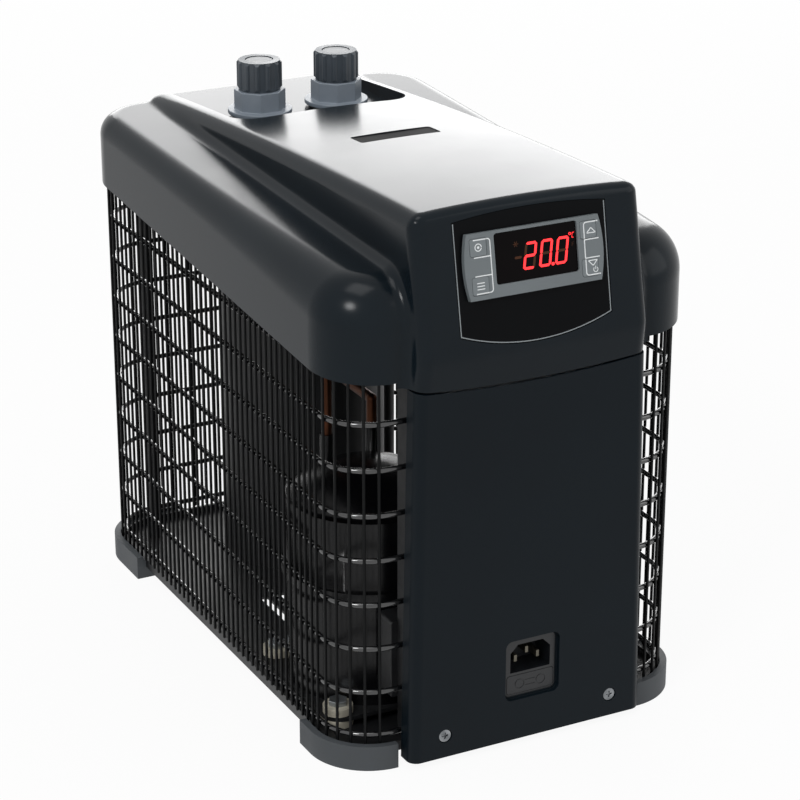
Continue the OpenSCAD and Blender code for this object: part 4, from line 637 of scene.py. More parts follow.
@dataclass
class HoodShape:
    """The hood's outer form: a raised spine that grows out of two shoulders."""

    front_h: float = 310.8
    rear_h: float = 292.4
    bulge: float = 3.2
    crown: float = 2.0
    crown_half_w: float = 64.0
    nose_round: float = 0.5
    spine_rear_y: float = 175.2
    spine_rear_r: float = 3.0
    edge_r: float = 7.5
    brow_r: float = 5.0
    hood_front_y: float = -168.4
    hood_rear_y: float = 179.7
    hood_half_w: float = 110.3
    plan_r: float = 34.0
    shoulder_front_h: float = 276.0
    shoulder_rear_h: float = 290.2
    shoulder_front_r: float = 26.0
    shoulder_rear_r: float = 12.0
    shoulder_r_power: float = 2.5
    blend_r: float = 6.0
    floor_h: float = 196.0

    def corner(self, a: Array, b: Array, r: float | Array) -> Array:
        """Distance from a round corner of radius r, with a and b from its middle."""
        return np.minimum(np.maximum(a, b), 0) + np.hypot(np.maximum(a, 0), np.maximum(b, 0)) - r

    def rounded(self, a: Array, b: Array, r: float | Array) -> Array:
        """Where two half-spaces meet, with their edge rounded to r."""
        return self.corner(a + r, b + r, r)

    def top_h(self, x: Array, y: Array) -> Array:
        """Height of the spine's crowned top."""
        front_y = self.face_y(np.asarray(self.front_h))
        s = (y - front_y) / (self.spine_rear_y - front_y)
        dome = 4 * self.bulge * s * (1 - s)
        crown = self.crown * (1 - (x / self.crown_half_w) ** 2)
        return self.front_h + (self.rear_h - self.front_h) * s + dome + crown

    def face_y(self, z: Array) -> Array:
        """Depth of the face's middle line at a height."""
        nose_h, soft = SIZES.nose_h, self.nose_round
        above = (z - nose_h) * math.tan(math.radians(SIZES.lean))
        below = (nose_h - z) * (SIZES.panel_y - SIZES.nose_y) / (nose_h - SIZES.seam_h)
        return SIZES.nose_y + np.logaddexp(above / soft, below / soft) * soft

    def spine(self, x: Array, y: Array, z: Array) -> Array:
        """The raised middle, with its leaning face."""
        body = self.rounded(z - self.top_h(x, y), self.face_y(z) - y, self.brow_r)
        body = self.rounded(body, y - self.spine_rear_y, self.spine_rear_r)
        return self.rounded(body, np.abs(x) - SIZES.side_x(z), self.edge_r)

    def shoulders(self, x: Array, y: Array, z: Array) -> Array:
        """Both shoulders and the skirt, as one round-cornered box with a sloping top."""
        mid_y = (self.hood_front_y + self.hood_rear_y) / 2
        length = self.hood_rear_y - self.hood_front_y
        across = np.abs(x) - (self.hood_half_w - self.plan_r)
        along = np.abs(y - mid_y) - (length / 2 - self.plan_r)
        plan = self.corner(across, along, self.plan_r)
        share = (y - self.hood_front_y) / length
        top = z - (self.shoulder_front_h + (self.shoulder_rear_h - self.shoulder_front_h) * share)
        ahead = (1 - np.clip(share, 0, 1)) ** self.shoulder_r_power
        radius = self.shoulder_rear_r + (self.shoulder_front_r - self.shoulder_rear_r) * ahead
        return self.rounded(plan, top, radius)

    def outer(self, x: Array, y: Array, z: Array) -> Array:
        """The whole outer form, with a hollow blend between spine and shoulders."""
        a, b, r = self.spine(x, y, z), self.shoulders(x, y, z), self.blend_r
        hollow = np.hypot(np.maximum(r - a, 0), np.maximum(r - b, 0))
        joined = np.maximum(r, np.minimum(a, b)) - hollow
        return np.maximum(joined, self.floor_h - z)


def prism(name: str, outline: Outline, low: float, high: float, axis: str = "z") -> Mesh:
    """A closed prism from an outline.

    Args:
        name: the mesh's name.
        outline: points in millimetres, in order round the outline.
        low: start of the prism along its axis.
        high: end of the prism along its axis.
        axis: "z" for outlines in x and y, "x" for y and z, "y" for x and z.

    Returns:
        The mesh, in metres, faces outwards.
    """
    work = bmesh.new()
    ends = []
    for level in (low, high):
        ring = []
        for p, q in outline:
            spot = {"z": (p, q, level), "x": (level, p, q), "y": (p, level, q)}[axis]
            ring.append(work.verts.new(Vector(spot) * MM))
        work.faces.new(ring)
        ends.append(ring)
    start, end = ends
    for i in range(len(outline)):
        work.faces.new((start[i - 1], start[i], end[i], end[i - 1]))
    bmesh.ops.recalc_face_normals(work, faces=work.faces)
    return from_bmesh(work, name)


def arc(cx: float, cy: float, r: float, start: float, end: float, count: int = 12) -> Outline:
    """Points on an arc, angles in degrees."""
    turns = [math.radians(start + (end - start) * i / count) for i in range(count + 1)]
    return [(cx + r * math.cos(a), cy + r * math.sin(a)) for a in turns]


def ring(cx: float, cy: float, r: float, count: int) -> Outline:
    """Outline of a circle with count points."""
    return arc(cx, cy, r, 0, 360 - 360 / count, count - 1)


def arc_band(u: float, v: float, r: float, line: float, start: float, end: float) -> Outline:
    """Outline of a band along an arc, its outer radius r."""
    return arc(u, v, r, start, end, 20) + arc(u, v, r - line, end, start, 20)


def round_rect(w: float, h: float, r: float, cx: float = 0.0, cy: float = 0.0) -> Outline:
    """Outline of a round-cornered rectangle."""
    x, y = w / 2 - r, h / 2 - r
    points = []
    for sx, sy, start in ((1, 1, 0), (-1, 1, 90), (-1, -1, 180), (1, -1, 270)):
        points += arc(cx + sx * x, cy + sy * y, r, start, start + 90, 8)
    return points


def bar(ax: float, ay: float, bx: float, by: float, width: float) -> Outline:
    """Outline of a bar from a to b, pointed at both ends."""
    length = math.hypot(bx - ax, by - ay)
    ux, uy = (bx - ax) / length, (by - ay) / length
    h = width / 2
    near, far = h / 2, length - h / 2
    marks = [(-near, 0), (near, h), (far, h), (length + near, 0), (far, -h), (near, -h)]
    return [(ax + ux * p - uy * q, ay + uy * p + ux * q) for p, q in marks]


def stroke(points: Outline, width: float) -> Outline:
    """Outline of a line of one width along points, its ends cut square."""
    left, right = [], []
    spots = [Vector(point) for point in points]
    last = len(spots) - 1
    for i, spot in enumerate(spots):
        ahead = (spots[min(i + 1, last)] - spots[min(i, last - 1)]).normalized()
        behind = (spots[max(i, 1)] - spots[max(i - 1, 0)]).normalized()
        along = (ahead + behind).normalized()
        side = Vector((-along.y, along.x)) * (width / 2 / max(along.dot(ahead), 0.5))
        left.append(tuple(spot + side))
        right.append(tuple(spot - side))
    return left + right[::-1]


def lay(name: str, shapes: list, low: float, high: float, finish: Finish, node: str) -> None:
    """Makes thin raised shapes on the leaning face.

    Args:
        name: the piece's name.
        shapes: outlines in the face's plane.
        low: where they start, outwards.
        high: where they end.
        finish: their finish.
        node: the CAD node whose body they take.
    """
    work = bmesh.new()
    for outline in shapes:
        part = prism("part", outline, low, high)
        work.from_mesh(part)
        bpy.data.meshes.remove(part)
    mesh = from_bmesh(work, name)
    mesh.transform(SIZES.face_matrix())
    crisp(mesh)
    new_piece(name, mesh, finish, node)


def cut(mesh: Mesh, tools: list[Mesh]) -> Mesh:
    """The mesh with closed tools cut out of it, one after the other."""
    for tool_mesh in tools:
        item = link("cut_work", mesh)
        tool = link("cutter", tool_mesh)
        step = item.modifiers.new("cut", "BOOLEAN")
        step.operation = "DIFFERENCE"
        step.solver = "MANIFOLD"
        step.object = tool
        mesh = baked(item)
        bpy.data.objects.remove(tool)
    return mesh


@dataclass
class Hood:
    """The hood moulding, with all that is cut out of it."""

    shape: HoodShape
    wall: float = 2.6
    skirt_front_h: float = 223.2
    skirt_rear_h: float = 250.4
    seam_past: float = 0.02
    recess_half_w: float = 57.0
    recess_len: float = 116.0
    recess_h: float = 291.0
    recess_r: float = 18.0
    union_x: float = 25.3
    union_y: float = 107.2
    stem_r: float = 10.3
    plate_half_w: float = 48.0
    plate_back: float = 4.6
    pocket_gap: float = 0.15
    pocket_span: tuple = (-2.4, 8.0)
    opening_w: float = 71.2
    opening_h: float = 29.2
    opening_r: float = 1.5
    opening_span: tuple = (-58.0, 2.0)
    badge_y: float = -20.0
    badge_w: float = 50.2
    badge_len: float = 15.7
    badge_r: float = 2.1
    badge_span: tuple = (-1.6, 6.0)
    stem_span: tuple = (280.0, 300.0)
    stem_points: int = 48
    box_low: tuple = (-114.0, -187.0)
    box_high: tuple = (114.0, 184.0, 320.0)
    outer_step: float = 2.0
    outer_under: float = 5.0
    hollow_under: float = 8.0
    inner_step: float = 3.0
    inner_under: float = 12.0
    crisp_deg: float = 30.0
    skin_mm: float = 0.08
    skin_cosine: float = 0.9

    def build(self) -> None:
        """Makes the hood and puts it in the CAD hood's place."""
        floor = self.shape.floor_h
        low, high = self.box_low, self.box_high
        outer = FieldMesh(self.shape.outer, (*low, floor - self.outer_under), high, self.outer_step)
        inner = FieldMesh(self.hollow, (*low, floor - self.inner_under), high, self.inner_step)
        mesh = cut(outer.mesh("hood_outer"), [inner.mesh("hood_inner")] + self.cutters())
        self.shade(mesh, outer)
        piece = new_piece("hood_skin", mesh, HOOD_ABS, "hood")
        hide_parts("hood")

    def hollow(self, x: Array, y: Array, z: Array) -> Array:
        """The space inside the hood, with walls left round the recess and the plate."""
        shape, lean = self.shape, math.radians(SIZES.lean)
        form = np.minimum(shape.spine(x, y, z), shape.shoulders(x, y, z))
        deep = np.maximum(form, shape.floor_h - self.hollow_under - z)
        front_y = shape.hood_rear_y - self.recess_len
        recess = np.maximum(np.abs(x) - self.recess_half_w, front_y - y)
        recess = np.maximum(recess, self.recess_h - z)
        out = (y - SIZES.nose_y) * math.cos(lean) - (z - SIZES.nose_h) * math.sin(lean)
        plate = np.maximum(np.abs(x) - self.plate_half_w, out - self.plate_back)
        return np.maximum(np.maximum(deep + self.wall, -recess + self.wall), -plate)

    def cutters(self) -> list[Mesh]:
        """Closed meshes of what is cut out of the moulding, their far ends in free space."""
        shape = self.shape
        under, above, ahead, aside = shape.floor_h - 20, 340, -200, 130
        behind, far_behind = shape.hood_rear_y + 5, shape.hood_rear_y + 20
        front_y, w, r = shape.hood_rear_y - self.recess_len, self.recess_half_w, self.recess_r
        skirt = [
            (shape.hood_front_y, under),
            (shape.hood_front_y, self.skirt_front_h),
            (behind, self.skirt_rear_h),
            (behind, under),
        ]
        recess = arc(w - r, front_y + r, r, 0, -90) + arc(-w + r, front_y + r, r, 270, 180)
        recess += [(-w, far_behind), (w, far_behind)]
        tools = [
            prism("under_skirt", skirt, -aside, aside, "x"),
            prism("under_seam", self.seam(under), ahead, shape.hood_front_y + self.seam_past, "y"),
            prism("recess", recess, self.recess_h, above),
        ]
        for side in (-1, 1):
            hole = ring(side * self.union_x, self.union_y, self.stem_r, self.stem_points)
            tools.append(prism("stem", hole, *self.stem_span))
        return tools + self.face_cutters() + [self.badge_cutter()]

    def seam(self, under: float, reach: float = 100.0, count: int = 48) -> Outline:
        """Outline of what lies under the bowed seam of hood and panel."""
        half, drop = SIZES.side_x(SIZES.seam_h), SIZES.seam_drop
        radius = (half**2 + drop**2) / (2 * drop)
        points = [(-reach, under), (reach, under)]
        for i in range(count + 1):
            x = reach - 2 * reach * i / count
            points.append((x, SIZES.seam_h - drop + radius - math.sqrt(radius**2 - x * x)))
        return points

    def face_cutters(self) -> list[Mesh]:
        """The pocket of the fascia plate and the controller's opening."""
        plate = Fascia().outline(self.pocket_gap)
        mouth = round_rect(self.opening_w, self.opening_h, self.opening_r, 0, Controller.mid_v)
        tools = [prism("pocket", plate, *self.pocket_span), prism("opening", mouth, *self.opening_span)]
        for mesh in tools:
            mesh.transform(SIZES.face_matrix())
        return tools

    def badge_cutter(self, near: float = 8.0) -> Mesh:
        """The pocket of the badge plate, on the slope of the top near it."""
        y, top_h = self.badge_y, self.shape.top_h
        here, ahead, behind = (
            float(top_h(np.array(0.0), np.array(y + off))) for off in (0.0, near, -near)
        )
        slope = math.atan((ahead - behind) / (2 * near))
        outline = round_rect(self.badge_w, self.badge_len, self.badge_r)
        mesh = prism("badge", outline, *self.badge_span)
        place = Matrix.Translation(Vector((0, y, here)) * MM)
        mesh.transform(place @ Matrix.Rotation(slope, 4, "X"))
        return mesh

    def shade(self, mesh: Mesh, outer: FieldMesh) -> None:
        """Gives the outer skin the true directions of its form, and keeps cuts crisp.

        Args:
            mesh: the cut mesh.
            outer: the sampled outer form.
        """
        crisp(mesh, self.crisp_deg)
        points = np.empty(len(mesh.vertices) * 3)
        mesh.vertices.foreach_get("co", points)
        points = points.reshape(-1, 3) / MM
        off = np.abs(self.shape.outer(*points.T))
        slope = outer.gradient(points)
        slope /= np.maximum(np.linalg.norm(slope, axis=1, keepdims=True), TINY)
        normals = np.empty(len(mesh.loops) * 3)
        mesh.corner_normals.foreach_get("vector", normals)
        normals = normals.reshape(-1, 3)
        loops = np.empty(len(mesh.loops), int)
        mesh.loops.foreach_get("vertex_index", loops)
        agree = (normals * slope[loops]).sum(axis=1) > self.skin_cosine
        use = (off[loops] < self.skin_mm) & agree
        normals[use] = slope[loops][use]
        mesh.normals_split_custom_set(normals.tolist())


@dataclass
class Fascia:
    """The black plate on the leaning face, with a painted highlight line along its rim, and the badge."""

    half_w: float = 45.4
    low: float = 2.0
    low_side: float = 10.4
    top: float = 73.0
    top_side: float = 70.0
    rim_in: float = 0.7
    rim_w: float = 0.55
    rim_low: float = -0.3
    rim_high: float = -0.17

    def outline(self, grow: float, count: int = 24) -> Outline:
        """Outline in the face's plane.

        Args:
            grow: how far the outline stands outside the plate.
            count: steps on each bowed edge.

        Returns:
            Points in millimetres, the lower edge first.
        """
        wide = self.half_w + grow
        drop, rise = self.low_side - self.low, self.top - self.top_side
        low_r, top_r = ((self.half_w**2 + bow**2) / (2 * bow) for bow in (drop, rise))
        across = [-wide + 2 * wide * i / count for i in range(count + 1)]
        points = [(x, self.low + low_r - math.sqrt((low_r + grow) ** 2 - x * x)) for x in across]
        across = [wide - 2 * wide * i / count for i in range(count + 1)]
        return points + [(x, self.top - top_r + math.sqrt((top_r + grow) ** 2 - x * x)) for x in across]

    def build(self) -> None:
        """Makes the pieces."""
        refined(PLATE_FILM, 0.35, "fascia_plate")
        # A grey line down the sides and along the lower edge: a painted highlight standing in for light on
        # the plate's bevelled rim
        points = self.outline(-self.rim_in)
        rim = stroke([points[-1]] + points[: len(points) // 2 + 1], self.rim_w)
        lay("fascia_rim_highlight", [rim], self.rim_low, self.rim_high, RIM_HIGHLIGHT_PAINT, "fascia_plate")
        refined(BADGE_ABS, 0.2, "badge_plate")


@dataclass
class Controller:
    """Bezel, keys with their signs, window and the lit figures behind it."""

    mid_v: float = 46.0
    bezel_top: float = 2.6
    bezel_half_w: float = 38.6
    window_sink: float = 1.2
    figure_h: float = 14.2
    figure_w: float = 7.1
    figure_u: float = -6.9
    figure_v: float = 40.2
    figure_pitch: float = 9.5
    slant: float = 10.4
    bar_w: float = 1.35
    bar_gap: float = 0.25
    lit_sink: float = 0.3
    lit_proud: float = 0.04
    dim_lower: float = 0.02
    dot: tuple = (11.1, 41.0, 0.9)
    unit_ring: tuple = (22.2, 55.2, 0.75, 0.35, 95, 445)
    unit_letter: tuple = (23.1, 52.9, 0.2)
    dim_letter: tuple = (22.9, 48.4, 0.16)
    dim_minus: tuple = (-11.0, 47.2, -7.2, 47.2)
    star: tuple = (-10.1, 54.3)
    star_r: float = 1.5
    star_w: float = 0.4
    key_u: float = 32.6
    key_v: float = 10.0
    key_half_w: float = 4.7
    key_rise: float = 0.1
    ink_t: float = 0.09
    line_sink: float = 0.02
    line_proud: float = 0.05
    sign_w: float = 0.5
    arrow_u: float = 34.2
    arrow_half_w: float = 2.7
    arrow_up: tuple = (56.8, 54.1)
    arrow_down: tuple = (36.8, 39.6)
    switch_ring: tuple = (35.6, 34.6, 1.5, 0.4, 130, 410)
    switch_bar: tuple = (35.6, 34.7, 35.6, 36.4, 0.4)
    lamp_r: float = 2.1
    lamp_turn: float = 350.0
    core_r: float = 0.7
    stripe_half: float = 2.2
    stripe_pitch: float = 1.6
    line_w: float = 0.6
    line_u: float = 30.0
    left_line_u: float = 25.6
    left_reach: float = 35.4
    line_out_v: float = 13.9
    line_in_v: float = 4.85
    line_gap: float = 0.3
    line_in: float = 0.2
    corner_r: float = 1.5

    def build(self) -> None:
        """Makes every piece of the controller."""
        refined(BEZEL_ABS, 0.35, "controller_bezel")
        keys = ("key_upper_left", "key_lower_left", "key_upper_right", "key_lower_right")
        refined(KEY_SILICONE, 0.25, *keys)
        refined(WINDOW_PC, 0.1, "display_window")
        self.figures()
        self.signs()
        dress(DARK_PP, "controller_housing")
        dress(BOARD_FR4, "controller_board")
        dress(CLIP_POM, "controller_clips")
        # The display module takes the unlit segments' brown and faint painted glow
        dress(LED_DARK_PAINTED_GLOW, "display_module")

    def figure(self, bars: str, u: float, v: float, scale: float = 1.0) -> list[Outline]:
        """Outlines of a slanted seven-bar figure.

        Args:
            bars: letters a to g of the bars that are made.
            u: place of its lower left corner to the right.
            v: place of that corner up the slope.
            scale: size against the main figures.

        Returns:
            The bars' outlines.
        """
        w, h, gap = self.figure_w * scale, self.figure_h * scale, self.bar_gap * scale
        inset = self.bar_w * scale / 2
        left, right, low, mid, top = inset, w - inset, inset, h / 2, h - inset
        ends = {
            "a": (left + gap, top, right - gap, top),
            "b": (right, top - gap, right, mid + gap),
            "c": (right, mid - gap, right, low + gap),
            "d": (left + gap, low, right - gap, low),
            "e": (left, mid - gap, left, low + gap),
            "f": (left, top - gap, left, mid + gap),
            "g": (left + gap, mid, right - gap, mid),
        }
        lean = math.tan(math.radians(self.slant))
        outlines = []
        for name in bars:
            shape = bar(*ends[name], self.bar_w * scale)
            outlines.append([(u + p + q * lean, v + q) for p, q in shape])
        return outlines

    def figures(self) -> None:
        """The lit and unlit figures, set just proud of the window's smoked face."""
        front = self.bezel_top - self.window_sink
        low, high = front - self.lit_sink, front + self.lit_proud
        lit, dim = [], []
        for place, bars in enumerate(("abged", "abcdef", "abcdef")):
            u = self.figure_u + self.figure_pitch * place
            unlit = "".join(name for name in "abcdefg" if name not in bars)
            lit += self.figure(bars, u, self.figure_v)
            dim += self.figure(unlit, u, self.figure_v)
        lit.append(ring(*self.dot, SIGN_POINTS))
        lit += self.figure("adef", *self.unit_letter)
        lit.append(arc_band(*self.unit_ring))
        lay("figures_lit", lit, low, high, LED_RED, "display_window")
        dim.append(bar(*self.dim_minus, self.bar_w))
        dim += self.figure("aefg", *self.dim_letter)
        u, v = self.star
        for turn in (0, 60, 120):
            du = self.star_r * math.cos(math.radians(turn))
            dv = self.star_r * math.sin(math.radians(turn))
            dim.append(bar(u - du, v - dv, u + du, v + dv, self.star_w))
        low, high = low - self.dim_lower, high - self.dim_lower
        # The unlit bars take a faint painted glow
        lay("figures_dim", dim, low, high, LED_DARK_PAINTED_GLOW, "display_window")

    def signs(self) -> None:
        """Thin signs on the keys, and the lines that frame them on both wings."""
        low, top = self.bezel_top + self.key_rise, self.bezel_top
        for side, name in ((-1, "left"), (1, "right")):
            for level, place in ((1, "upper"), (-1, "lower")):
                node = "key_" + place + "_" + name
                shapes = self.key_signs(side, level) + self.key_lines(side, level)
                lay(node + "_signs", shapes, low, low + self.ink_t, SIGN_INK, node)
        lines = self.bezel_lines()
        low, high = top - self.line_sink, top + self.line_proud
        lay("wing_lines", lines, low, high, SIGN_INK, "controller_bezel")

    def key_signs(self, side: int, level: int) -> list[Outline]:
        """Outlines of one key's signs.

        Args:
            side: -1 for the left wing, 1 for the right.
            level: 1 for the upper key, -1 for the lower.

        Returns:
            The outlines.
        """
        if side < 0:
            u, v = -self.key_u, self.mid_v + level * self.key_v
            if level > 0:
                rim = arc_band(u, v, self.lamp_r, self.sign_w, 0, self.lamp_turn)
                return [rim, ring(u, v, self.core_r, SIGN_POINTS)]
            half, heights = self.stripe_half, [v + self.stripe_pitch * i for i in (-1, 0, 1)]
            return [bar(u - half, h, u + half, h, self.sign_w) for h in heights]
        tip_v, base_v = self.arrow_up if level > 0 else self.arrow_down
        u, half = self.arrow_u, self.arrow_half_w
        left, tip, right = (u - half, base_v), (u, tip_v), (u + half, base_v)
        signs = [bar(*a, *b, self.sign_w) for a, b in ((left, tip), (tip, right), (left, right))]
        if level < 0:
            signs += [arc_band(*self.switch_ring), bar(*self.switch_bar)]
        return signs

    def key_lines(self, side: int, level: int) -> list[Outline]:
        """The share of the wing lines that runs over one key."""
        out_v, r = self.mid_v + level * self.line_out_v, self.corner_r
        if side < 0:
            start = self.key_half_w - self.key_u
            return [stroke([(start, out_v), (-self.left_reach, out_v)], self.line_w)]
        bend = arc(self.line_u + r, out_v - level * r, r, 90 * level, 180 * level, 6)
        last = (self.line_u, self.mid_v + level * (self.key_v - self.key_half_w + self.line_in))
        return [stroke([(self.key_u + self.key_half_w, out_v)] + bend + [last], self.line_w)]

    def bezel_lines(self) -> list[Outline]:
        """The share of the wing lines that runs over the bezel."""
        low, high = self.mid_v - self.line_in_v, self.mid_v + self.line_in_v
        bottom, top = self.mid_v - self.line_out_v, self.mid_v + self.line_out_v
        end, r = self.bezel_half_w, self.corner_r
        key_edge = self.key_u + self.key_half_w + self.line_gap
        key_start = self.key_half_w + self.line_gap - self.key_u
        bend_u = -self.left_line_u - r
        bends = arc(bend_u, top - r, r, 90, 0, 6) + arc(bend_u, bottom + r, r, 0, -90, 6)
        start = -self.left_line_u - self.line_w / 2
        paths = [
            [(end, high), (self.line_u, high), (self.line_u, low), (end, low)],
            [(key_edge, top), (end, top)],
            [(key_edge, bottom), (end, bottom)],
            [(key_start, top)] + bends + [(key_start, bottom)],
            [(start, low), (-self.left_reach, low)],
            [(start, high), (-self.left_reach, high)],
        ]
        return [stroke(path, self.line_w) for path in paths]


@dataclass
class Cage:
    """The wire cage, its wires and rods laid along one outline."""

    rod_r: float = 1.6
    wire_r: float = 0.85
    rod_inset: float = 3.0
    wire_inset: float = 0.85
    first_h: float = 18.4
    pitch: float = 25.86
    count: int = 10
    low_h: float = 12.7
    top_h: float = 255.0
    tip_len: float = 0.5
    frame_x: float = 66.0
    side_pitch: float = 6.6
    bend_pitch: float = 7.4
    path_step: float = 4.0
    wire_sides: int = 10
    rod_sides: int = 14

    def side_path(self) -> Outline:
        """Points along the right side's rod: front end, corner, side, corner."""
        x, front, rear = SIZES.cage_bends()
        r = SIZES.cage_corner_r - self.rod_inset
        turns = int(r * math.pi / 2 / self.path_step)
        points = [(self.frame_x, SIZES.cage_front_y + self.rod_inset)]
        return points + arc(x, front, r, -90, 0, turns) + arc(x, rear, r, 0, 90, turns)

    def side_places(self) -> Outline:
        """Places of the right side's wires."""
        x, front, rear = SIZES.cage_bends()
        r = SIZES.cage_corner_r - self.wire_inset
        straight, out_x = rear - front, SIZES.cage_half_w - self.wire_inset
        number = int(straight / self.side_pitch)
        places = [(out_x, front + straight * i / number) for i in range(number + 1)]
        turns = int(r * math.pi / 2 / self.bend_pitch)
        for y, start in ((front, -90), (rear, 0)):
            places += arc(x, y, r, start, start + 90, turns)[1:-1]
        return places

    def rear_places(self) -> Outline:
        """Places of the rear face's wires."""
        half, y = SIZES.cage_bends()[0], SIZES.cage_rear_y - self.wire_inset
        number = int(2 * half / self.bend_pitch)
        return [(-half + 2 * half * i / number, y) for i in range(number + 1)]

    def wire_tree(self) -> Tree:
        """Geometry nodes: a wire with a broken lower tip on every point."""
        kinds = {"Wire Radius": "Float", "Wire Length": "Float", "Tip Length": "Float", "Sides": "Int"}
        tree, entry = new_group("cage wires", kinds)
        radius, length, tip = entry["Wire Radius"], entry["Wire Length"], entry["Tip Length"]
        ends = {}
        for name, value, factor in (("half", length, 0.5), ("below", tip, -1.0), ("narrow", radius, 0.5)):
            ends[name] = add_node(tree, "ShaderNodeMath", {0: value, 1: factor}, operation="MULTIPLY")
        lift = add_node(tree, "ShaderNodeCombineXYZ", {"Z": ends["half"]})
        drop = add_node(tree, "ShaderNodeCombineXYZ", {"Z": ends["below"]})
        size = {"Vertices": entry["Sides"], "Radius": radius, "Depth": length}
        shaft = add_node(tree, "GeometryNodeMeshCylinder", size)
        size = {"Vertices": entry["Sides"], "Radius Bottom": ends["narrow"], "Radius Top": radius}
        cone = add_node(tree, "GeometryNodeMeshCone", {**size, "Depth": tip})
        both = add_node(tree, "GeometryNodeJoinGeometry")
        for shape, move in ((shaft, lift), (cone, drop)):
            moved = add_node(tree, "GeometryNodeTransform", {"Geometry": shape, "Translation": move})
            tree.links.new(moved.outputs[0], both.inputs[0])
        return end_group(tree, entry["Finish"], entry["Geometry"], both)

    def rod_tree(self) -> Tree:
        """Geometry nodes: a round rod along a path, repeated upwards."""
        kinds = {"Rod Radius": "Float", "Rod Pitch": "Float", "Rod Count": "Int", "Sides": "Int"}
        tree, entry = new_group("cage rods", kinds)
        curve = add_node(tree, "GeometryNodeMeshToCurve", {"Mesh": entry["Geometry"]})
        size = {"Resolution": entry["Sides"], "Radius": entry["Rod Radius"]}
        profile = add_node(tree, "GeometryNodeCurvePrimitiveCircle", size)
        path = {"Curve": curve, "Profile Curve": profile, "Fill Caps": True}
        rod = add_node(tree, "GeometryNodeCurveToMesh", path)
        offset = add_node(tree, "ShaderNodeCombineXYZ", {"Z": entry["Rod Pitch"]})
        row = {"Count": entry["Rod Count"], "Offset": offset}
        levels = add_node(tree, "GeometryNodeMeshLine", row)
        return end_group(tree, entry["Finish"], levels, rod)

    def grow(self, name: str, points: list, tree: Tree, values: dict, finish: Finish) -> None:
        """Runs a tree on points and puts the result in a CAD node's place.

        Args:
            name: the grille's face and kind, such as "left_rods".
            points: points in metres; rods run along them in order.
            tree: the geometry nodes.
            values: input name to value.
            finish: the finish of the wire.
        """
        base = bpy.data.meshes.new(name)
        base.from_pydata(points, [(i, i + 1) for i in range(len(points) - 1)], [])
        mesh = grown(base, tree, {**values, "Finish": finish.build()})
        crisp(mesh, 40.0)
        node = "grille_" + name
        piece = new_piece("cage_" + name, mesh, finish, node)
        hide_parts(node)

    def build(self) -> None:
        """Makes the six grilles' pieces."""
        wire_values = {
            "Wire Radius": self.wire_r * MM,
            "Wire Length": (self.top_h - self.low_h - self.tip_len) * MM,
            "Tip Length": self.tip_len * MM,
            "Sides": self.wire_sides,
        }
        rod_values = {
            "Rod Radius": self.rod_r * MM,
            "Rod Pitch": self.pitch * MM,
            "Rod Count": self.count,
            "Sides": self.rod_sides,
        }
        half, rear_y = SIZES.cage_bends()[0], SIZES.cage_rear_y - self.rod_inset
        rear_path = [(-half, rear_y), (half, rear_y)]
        wires, rods = self.wire_tree(), self.rod_tree()
        low, first = (self.low_h + self.tip_len) * MM, self.first_h * MM
        for face, side, places, path in (
            ("left", -1, self.side_places(), self.side_path()),
            ("right", 1, self.side_places(), self.side_path()),
            ("rear", 1, self.rear_places(), rear_path),
        ):
            spots = [(side * x * MM, y * MM, low) for x, y in places]
            self.grow(face + "_wires", spots, wires, wire_values, WIRE_DIP)
            spots = [(side * x * MM, y * MM, first) for x, y in path]
            self.grow(face + "_rods", spots, rods, rod_values, ROD_DIP)


class Case:
    """Panel, inlet, tray, feet and screws."""

    def build(self) -> None:
        """Makes the case's pieces."""
        refined(PANEL_ABS, 0.45, "front_panel")
        refined(INLET_PA, 0.3, "inlet_socket")
        refined(INLET_PA, 0.2, "fuse_drawer")
        refined(PIN_NICKEL, 0.3, "inlet_pins")
        refined(SCREW_ZINC, 0.2, "panel_screws")
        refined(TRAY_COAT, 0.0, "base_tray")
        feet = ("foot_front_left", "foot_front_right", "foot_rear_left", "foot_rear_right")
        refined(FOOT_RUBBER, 0.9, *feet)
        dress(FUSE_GLASS, "fuse")
        dress(ZINC, "frame_screws")
        # Frame and posts near black, partly painted shade
        dress(DARK_SHEET_AND_PAINTED_SHADE, "front_frame", "rear_posts")


class Unions:
    """The two hose unions in the hood's recess."""

    def build(self) -> None:
        """Makes the unions' pieces."""
        for side in ("in", "out"):
            refined(UNION_PVC, 0.5, "water_%s_body" % side)
            refined(NUT_PVC, 0.4, "water_%s_nut" % side)
            refined(DISC_PVC, 0.4, "water_%s_disc" % side)
        refined(NITRILE, 0.3, "union_gaskets")
        dress(DARK_PP, "union_back_nuts")
        dress(NITRILE, "riser_hoses")


